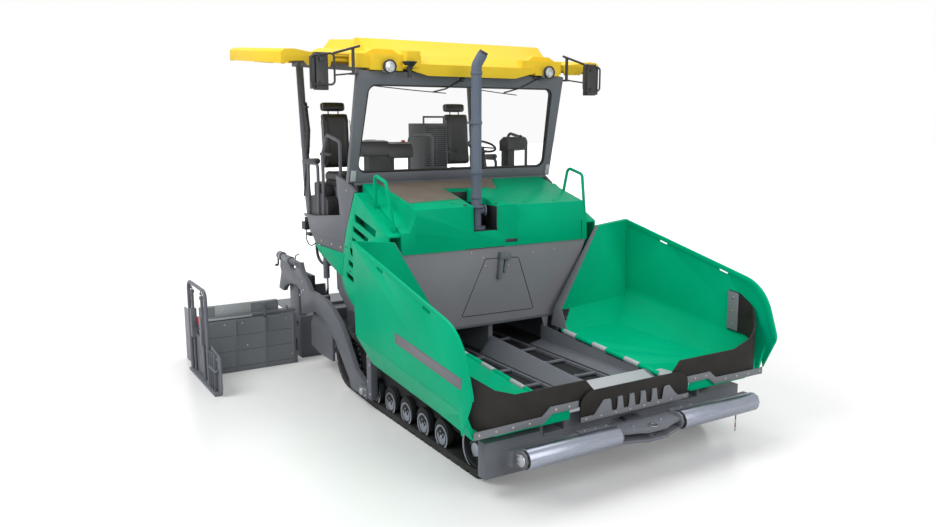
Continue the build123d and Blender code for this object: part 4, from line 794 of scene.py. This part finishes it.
button = Fittings("stop_button", "reflector_red", edge=1)
button.turned((-455, 3215, 2606), UP, [(0, 13), (22, 13), (24, 22), (36, 22), (42, 15)], 24)

wheel = Fittings("steering_wheel", "plastic_black", edge=1)
WHEEL = (690, 3420, 2560)
rim = []
for step in range(29):
    t = math.tau * step / 28
    rim.append((WHEEL[0] + 165 * math.cos(t), WHEEL[1] + 150 * math.sin(t), WHEEL[2] + 60 * math.sin(t)))
wheel.tube(rim, 13, 10)
for spoke_end in (7, 16, 26):
    wheel.tube([(690, 3420, 2545), rim[spoke_end]], 9, 8)
wheel.tube([(690, 3330, 2240), (690, 3420, 2550)], 24, 14)

grille = Fittings("cabinet_grille", "black", edge=0.6)
grille.block((58, 332), (3640, 3650.4), (2330, 2790))
bars = Fittings("cabinet_bars", "paint_dark", edge=0.6)
for row in range(19):
    z = 2345 + row * 24
    bars.block((60, 330), (3634, 3641), (z, z + 8))
for x in (56, 193, 326):
    bars.block((x, x + 8), (3632, 3642), (2325, 2795))
bars.tube([(60, 3700, 2824), (60, 3700, 2900), (330, 3700, 2900), (330, 3700, 2824)], 11, 10)

# ---- roof, lamps and mirrors
RISE = math.radians(4.5)  # rear up
ROOF_AFT, ROOF_BASE = 2607, 3366


def roof_place(x, back, up):
    """A place on the roof: across, rearwards along it and up from its base plane."""
    aft = ROOF_AFT + back * math.cos(RISE) - up * math.sin(RISE)
    return x, aft, ROOF_BASE + back * math.sin(RISE) + up * math.cos(RISE)


LAMP = (959, 2480, 3372)
reflectors = Fittings("lamp_reflectors", "mirror_glass", edge=0.3)
bezels = Fittings("lamp_bezels", "black", edge=1)
covers = Fittings("lamp_covers", "lamp_lens", edge=0.3)
for sx in BOTH:
    reflectors.mirror = bezels.mirror = covers.mirror = sx
    reflectors.turned(LAMP, REAR, [(-1, 55), (-3, 54), (-3, 8), (-6, 7), (-6, 3)], 36)
    bezels.ring((LAMP[0], LAMP[1] - 14, LAMP[2] - 1), REAR, 69, 55, 26)
    covers.turned(LAMP, REAR, [(-3, 55), (-9, 53), (-15, 44), (-19, 30), (-21, 12), (-21.5, 3)], 36)

work_lamp = Fittings("work_lamp", "black", edge=2)
shape = [(0, 72), (10, 74), (22, 60), (60, 30), (120, 18), (140, 24), (150, 24)]
work_lamp.turned((-760, 2450, 3424), DOWN, shape, 32)
work_lamp.tube([(-760, 2470, 3330), (-745, 2560, 3350)], 9, 8)

underside = [(1490, 84), (1640, 104), (1800, 128), (1880, 122)]  # across, up from the roof's base plane
for side, sx in SIDES:
    awning = "awning_" + side
    # painted shade: black plates just under the awning darken its underside
    underside_shade = Fittings("awning_underside_painted_shade_" + side, "plastic_black", awning, 0.5, sx)
    for (near, low), (far, high) in zip(underside, underside[1:]):
        corners = ((near, 240, low), (far, 240, high), (far, 1910, high), (near, 1910, low))
        underside_shade.plate([roof_place(*corner) for corner in corners], (0, 0, -2))
    sleeves = Fittings("awning_rod_sleeves_" + side, "rod_chrome", awning, 0.5, sx)
    for back in (250, 1890):
        sleeves.rod(roof_place(1440, back, 58), roof_place(1600, back, 58), 17.5)

glasses = Fittings("mirror_faces", "mirror_glass", edge=0.5)
for glasses.mirror in BOTH:
    for zs in ((3152, 3340), (3352, 3474)):
        glasses.block((1572, 1672), (2639.5, 2642), zs)
brackets = Fittings("mirror_brackets", "plastic_black", edge=1.5)
for brackets.mirror in BOTH:
    for z in (3205, 3420):
        brackets.block((1596, 1648), (2545, 2561), (z - 18, z + 18))
        brackets.bolt((1622, 2546, z), FRONT, 7)
    brackets.block((1560, 1684), (2558, 2562), (3335, 3345))

pads = Fittings("post_pads", "plastic_black", edge=6)
for pads.mirror in BOTH:
    pads.tube([(1150, 4300, 2480), (1150, 4250, 2750), (1150, 4330, 3060)], 26, 14)
    pads.tube([(1185, 3890, 2410), (1185, 4260, 2392)], 34, 16)
    for z in (2560, 2700, 3000):
        pads.block((1130, 1170), (4255, 4400), (z, z + 22))

# ---- tracks
IDLER, SPROCKET = (470, 230), (3020, 365)  # aft, height
ROLLER_HEIGHT = 150
ROLLERS = [1023 + 335 * number for number in range(5)]
ROLLER_SIDE, WHEEL_SIDE = 1230, 1225  # outer faces of the bottom rollers and of the two wheels' hubs
for side, sx in SIDES:
    rims = Fittings("roller_rims_" + side, "roller_steel", mirror=sx, edge=2)
    grooves = Fittings("roller_grooves_" + side, "black", mirror=sx, edge=0.5)
    bolts = Fittings("wheel_bolts_" + side, "steel", mirror=sx)
    for aft in ROLLERS:
        centre = (ROLLER_SIDE, aft, ROLLER_HEIGHT)
        rims.ring(centre, OUT, 108, 88, 5)
        rims.turned(centre, OUT, [(0, 70), (5, 68), (6, 20), (9, 16)], 36)
        grooves.ring((ROLLER_SIDE - 0.4, aft, ROLLER_HEIGHT), OUT, 88, 70, 1.2)
        for place in circle((ROLLER_SIDE + 5.4, aft, ROLLER_HEIGHT), 50, 6, start=0.3):
            bolts.bolt(place, OUT, 5)
    rims.ring((WHEEL_SIDE, *IDLER), OUT, 198, 176, 8)
    rims.turned((1180, *IDLER), OUT, [(0, 92), (12, 90), (20, 62), (50, 58), (54, 50)], 40)
    rims.turned((WHEEL_SIDE, *SPROCKET), OUT, [(0, 80), (6, 78), (10, 40), (12, 36)], 40)
    for centre, radius, count, size in (
        ((1192, *IDLER), 77, 8, 7),
        ((1180, *IDLER), 140, 8, 8),
        ((1170, *SPROCKET), 152, 16, 9),
        ((WHEEL_SIDE, *SPROCKET), 105, 12, 7),
    ):
        for place in circle(centre, radius, count):
            bolts.bolt(place, OUT, size)
    for aft in (790, 1480, 2170):
        bolts.turned((1180, aft, 440), OUT, [(0, 22), (28, 22), (34, 16)], 20)

# ---- push beam
BEAM_SIDE = 1262  # outer face of the beam's end plates
ROLLER_AXIS = (-225, 400)  # aft, height
beam = Fittings("push_beam_fittings", "steel", "push_beam", 1)
rings = Fittings("push_roller_seals", "black", "push_beam", 1)
for sx in BOTH:
    beam.mirror = rings.mirror = sx
    for z in (365, 395, 425):
        beam.bolt((BEAM_SIDE, -115, z), OUT, 8)
        beam.bolt((BEAM_SIDE, -180 + (z - 395) * 0.2, z), OUT, 6)
    beam.turned((BEAM_SIDE, *ROLLER_AXIS), OUT, [(0, 48), (8, 46), (10, 30), (16, 28)], 32)
    for place in circle((BEAM_SIDE + 8, *ROLLER_AXIS), 38, 6):
        beam.bolt(place, OUT, 4)
    for x in (360, 470, 580):
        beam.bolt((x, -110, 452), UP, 8)
    for x in (1232.5, 340.5):
        rings.ring((x, *ROLLER_AXIS), OUT, 74, 34, 4)

hitch = Fittings("hitch_pin", "steel", "push_beam", 1)
hitch.ring((0, -270, 435), UP, 44, 27, 5)
hitch.ring((0, -270, 326), UP, 44, 27, 4)
for x in (-150, 150):
    hitch.bolt((x, -200, 435), UP, 9)

BAND = 38  # height of one of the guide rod's red and white bands
for number in range(6):
    marker = Fittings("guide_rod_%d" % number, ("reflector_red", "paint_light")[number % 2], "push_beam", 0.5)
    buried = 0 if number else 2  # the top band starts inside the beam
    marker.turned((1180, -100, 318 - number * BAND), DOWN, [(-buried, 5.5), (BAND, 5.5)], 14)

# ---- sides
SKIN_SIDE = face("side_panels", "left")
heads = Fittings("side_panel_bolts", "black", edge=0.5)
for heads.mirror in BOTH:
    for aft, z in ((2200, 1180), (2080, 1500), (2800, 1420), (2900, 1320), (3000, 1560)):
        heads.bolt((SKIN_SIDE, aft, z), OUT, 7)

skirt = Fittings("skirt_bolts", "zinc", edge=0.5)
for skirt.mirror in BOTH:
    for aft in (3150, 3400, 3700):
        skirt.bolt((1240, aft, 1540), OUT, 8)
    skirt.bolt((1244, 2950, 2150), OUT, 7)

fender = Fittings("fender_skin", "paint_green", edge=1)
outline = [(3872, 1484), (3052, 1484), (3110, 1235), (3200, 1246), (3468, 1332), (3760, 1403)]
for fender.mirror in BOTH:
    fender.plate([(SKIN_SIDE, aft, z) for aft, z in outline], (2.5, 0, 0))
    for aft, z in ((3150, 1440), (3170, 1300), (3720, 1440)):
        fender.bolt((SKIN_SIDE + 2, aft, z), OUT, 6)

boxes = Fittings("platform_side_boxes", "plastic_black", edge=6)
low_box = [(3620, 1792), (4270, 1792), (4270, 1935), (4120, 2010), (3760, 2060), (3620, 1990)]
high_box = [(3700, 2040), (4060, 1990), (4060, 2160), (3960, 2180), (3700, 2130)]
for boxes.mirror in BOTH:
    boxes.plate([(760, aft, z) for aft, z in low_box], (425, 0, 0))
    boxes.plate([(1085, aft, z) for aft, z in high_box], (85, 0, 0))
    boxes.tube([(1190, 4200, 2380), (1200, 4250, 2250), (1206, 4290, 1990)], 10, 10)
    boxes.block((1120, 1208), (4300, 4420), (1590, 1682))
    boxes.rod((1165, 4340, 1682), (1165, 4340, 1740), 30)
    boxes.block((1130, 1200), (4180, 4310), (1530, 1562))

rail = Fittings("tow_rail_fittings", "steel", edge=1)
TOW_POINT = (2500, 160)  # aft, height
for rail.mirror in BOTH:
    for aft, z in ((2295, 690), (2345, 690), (2295, 640), (2345, 560), (2295, 480), (2345, 300), (2295, 180)):
        rail.bolt((1322, aft, z), OUT, 9)
    for aft, z in ((2400, 200), (2400, 140), (2450, 195)):
        rail.bolt((1330, aft, z), OUT, 9)
    rail.turned((1329, *TOW_POINT), OUT, [(0, 42), (8, 40), (10, 26), (16, 24)], 32)

# ---- tow arms and screed
ARM_SIDE, SPINDLE_X = 1302, 1276
arms = Fittings("tow_arm_fittings", "steel", "screed", 1)
for arms.mirror in BOTH:
    for aft, z in ((4170, 900), (4230, 860), (4290, 820), (4200, 1000)):
        arms.bolt((ARM_SIDE, aft, z), OUT, 9)
    arms.ring((ARM_SIDE, *TOW_POINT), OUT, 52, 31, 5)
    arms.ring((SPINDLE_X, 4950, 1190), REAR, 56, 38, 18)
    arms.turned((SPINDLE_X, 5085, 1195), REAR, [(0, 30), (6, 30), (9, 16), (30, 16)], 24)
    arms.tube([(SPINDLE_X, 4372, 1178), (1330, 4366, 1200), (1330, 4310, 1300), (1290, 4300, 1310)], 9, 10)
    for turn in range(12):  # the spindle's thread
        arms.ring((SPINDLE_X, 4690 + turn * 18, 1181 + turn * 0.6), REAR, 39, 36.5, 8)

cranks = Fittings("spindle_cranks", "plastic_black", "screed", 1)
for cranks.mirror in BOTH:
    cranks.tube([(SPINDLE_X, 5100, 1196), (SPINDLE_X, 5130, 1197), (SPINDLE_X, 5135, 1060)], 11, 10)
    cranks.rod((SPINDLE_X, 5135, 1060), (1315, 5135, 1055), 15, 16)
    cranks.block((1180, 1232), (4100, 4400), (930, 1075))

BOARD_FRONT = 4300
GATE_SIDE, GATE_SPINDLE = 2476, 2492  # the end gate's outer face, and its height spindles' middle
for side, sx in SIDES:
    body = "extension_" + side
    trim = Fittings("extension_board_trim_" + side, "paint_light", body, 1, sx)
    trim.block((1880, 2290), (4345.5, 4349.5), (664, 792))
    trim.block((1880, 2425), (4305, 4311), (632, 656))

    seams = Fittings("extension_seams_" + side, "black", body, 0.2, sx)
    for z in (60, 250, 430):
        seams.block((1400, 2420), (BOARD_FRONT - 1.4, BOARD_FRONT + 0.5), (z, z + 3))
    for x in (1700, 2060):
        seams.block((x, x + 3), (BOARD_FRONT - 1.4, BOARD_FRONT + 0.5), (440, 600))
    seams.block((1355, 1372), (BOARD_FRONT - 4, BOARD_FRONT + 0.5), (150, 300))

    bracket = Fittings("extension_brackets_" + side, "paint_dark", body, 1.5, sx)
    bracket.block((1700, 1760), (4325, 4350), (640, 770))
    bracket.block((1716, 1744), (4300, 4330), (600, 700))
    for x in (1440, 1560):
        bracket.block((x, x + 12), (4340, 4400), (655, 700))

    bolts = Fittings("extension_bolts_" + side, "zinc", body, 0.5, sx)
    for x, z in ((2390, 560), (2200, 570), (1950, 300), (1480, 560), (2000, 570), (2420, 200), (1420, 120)):
        bolts.bolt((x, BOARD_FRONT, z), FRONT, 6)
    for x in (1990, 2200):
        bolts.bolt((x, 4345.5, 730), FRONT, 7)

    reflector = Fittings("gate_reflector_" + side, "reflector_red", body, 2, sx)
    reflector.block((2452, 2474), (4330, 4420), (600, 680))

    gate = Fittings("gate_fittings_" + side, "paint_dark", body, 1.5, sx)
    for aft in (4080, 4510):
        for turn in range(9):
            gate.ring((GATE_SPINDLE, aft, 790 + turn * 16), UP, 17, 13.5, 8)
        gate.block((GATE_SIDE, 2524), (aft - 40, aft + 40), (560, 600))
        stem = [(GATE_SPINDLE, aft, 960), (GATE_SPINDLE, aft, 1005)]
        gate.tube([*stem, (2512, aft - 30, 1005), (2512, aft - 60, 1040)], 7, 8)
    for aft in (3620, 3700, 3780):
        gate.block((GATE_SIDE, 2512), (aft, aft + 14), (32, 440))
    gate.block((GATE_SIDE, 2516), (3560, 3840), (250, 268))

    gate_bolts = Fittings("gate_bolts_" + side, "steel", body, 0.5, sx)
    for aft, z in ((3900, 420), (4200, 420), (4650, 400), (3900, 80), (4300, 80), (4650, 80), (3600, 380)):
        gate_bolts.bolt((GATE_SIDE, aft, z), OUT, 9)

# ---- hoses behind the platform
hoses = {
    "hose_upper": (0.778, 0.034, [
        (-1080, 4240, 1560), (-1080, 4250, 1500), (-1085, 4280, 1380), (-1080, 4230, 1230),
        (-1040, 4090, 1180), (-1000, 3960, 1220), (-940, 3900, 1262), (-872, 3885, 1270),
    ]),
    "hose_lower": (0.716, 0.034, [
        (-1010, 4240, 1560), (-1010, 4245, 1510), (-1020, 4300, 1420), (-1015, 4290, 1290),
        (-980, 4160, 1220), (-940, 4010, 1195), (-910, 3930, 1205), (-872, 3890, 1210),
    ]),
    "lamp_cable": (0.440, 0.014, [
        (-1165, 4380, 1592), (-1165, 4390, 1540), (-1165, 4390, 1460), (-1140, 4350, 1390),
        (-1100, 4290, 1410), (-1060, 4260, 1490), (-1050, 4250, 1560),
    ]),
}
for name, (length, diameter, places) in hoses.items():
    line = bpy.data.curves.new(name, "CURVE")
    line.dimensions = "3D"
    line.bevel_depth = diameter / 2
    line.bevel_resolution = 5
    line.resolution_u = 14
    spline = line.splines.new("NURBS")
    spline.points.add(len(places) - 1)
    for point, (x, aft, z) in zip(spline.points, places):
        point.co = (x / 1000, (aft - REAR_ZERO) / 1000, z / 1000, 1)
    spline.order_u = 3
    spline.use_endpoint_u = True
    hose = add_object(name, line)
    paint(hose, "black")
    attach(hose, "tractor")
    tuple(spline.points[0].co[:3])

panels = Fittings("screed_fittings", "paint_dark", "screed", 2)
for panels.mirror in BOTH:
    panels.block((880, 1150), (4440, 4451), (640, 900))
    for x in (920, 1110):
        for z in (870, 670):
            panels.bolt((x, 4440, z), FRONT, 9)

for fittings in Fittings.made:
    fittings.close()


# ---- floor, light, background
AMBIENT, BACKDROP = 0.5, 1.0  # the world's strength on the object, and where it is seen
GLOW_NEAR, GLOW_FAR = (3.2, 0.14), (12.0, 0.75)  # the floor's glow: metres from the middle, strength


def shows_white(add, link):
    """1 for the rays that look at the background: from the camera, in gloss or through glass."""
    path = add("ShaderNodeLightPath")
    either, any_ray = add("ShaderNodeMath"), add("ShaderNodeMath")
    either.operation = any_ray.operation = "MAXIMUM"
    link(path.outputs["Is Camera Ray"], either.inputs[0])
    link(path.outputs["Is Glossy Ray"], either.inputs[1])
    link(either.outputs[0], any_ray.inputs[0])
    link(path.outputs["Is Transmission Ray"], any_ray.inputs[1])
    return any_ray.outputs[0]


def make_world():
    world = bpy.data.worlds.new("studio")
    bpy.context.scene.world = world
    world.use_nodes = True
    add, link = world.node_tree.nodes.new, world.node_tree.links.new
    sky = world.node_tree.nodes["Background"]
    sky.inputs["Color"].default_value = (1, 1, 1, 1)
    link(spread(add, link, shows_white(add, link), AMBIENT, BACKDROP), sky.inputs["Strength"])


def make_floor():
    """A pale floor that keeps the machine's shadow near it and glows white further out."""
    bpy.ops.mesh.primitive_plane_add(size=160)
    floor = bpy.context.object
    floor.name = "floor"
    material, add, link, shader = blank_material("pale_floor")
    patches = noise(add, link, scale=0.5, detail=2)
    link(ramp(add, link, patches, (0.8, 0.8, 0.8), (0.82, 0.82, 0.82)), shader.inputs["Base Color"])
    shader.inputs["Roughness"].default_value = 0.25
    shader.inputs["Emission Color"].default_value = (1, 1, 1, 1)
    place = add("ShaderNodeNewGeometry")
    distance = add("ShaderNodeVectorMath")
    distance.operation = "LENGTH"
    link(place.outputs["Position"], distance.inputs[0])
    reach = add("ShaderNodeMapRange")
    reach.interpolation_type = "SMOOTHSTEP"
    reach.inputs["From Min"].default_value, reach.inputs["To Min"].default_value = GLOW_NEAR
    reach.inputs["From Max"].default_value, reach.inputs["To Max"].default_value = GLOW_FAR
    link(distance.outputs["Value"], reach.inputs["Value"])
    glow = add("ShaderNodeMath")
    glow.operation = "MULTIPLY"
    link(shows_white(add, link), glow.inputs[0])
    link(reach.outputs["Result"], glow.inputs[1])
    link(glow.outputs[0], shader.inputs["Emission Strength"])
    floor.data.materials.append(material)


def area_light(name, place, size, power):
    """A square soft box that looks at the machine's middle, a metre up."""
    data = bpy.data.lights.new(name, "AREA")
    data.size = size
    data.energy = power
    light = add_object(name, data)
    light.location = place
    light.rotation_euler = (Vector((0, 0, 1)) - Vector(place)).to_track_quat("-Z", "Y").to_euler()


make_world()
make_floor()
area_light("key", place=(-8, 0, 9), size=6, power=620)
area_light("fill", place=(0, -10, 6), size=7, power=380)
area_light("top", place=(2, 3, 11), size=8, power=520)
bpy.context.scene.view_settings.view_transform = "Standard"
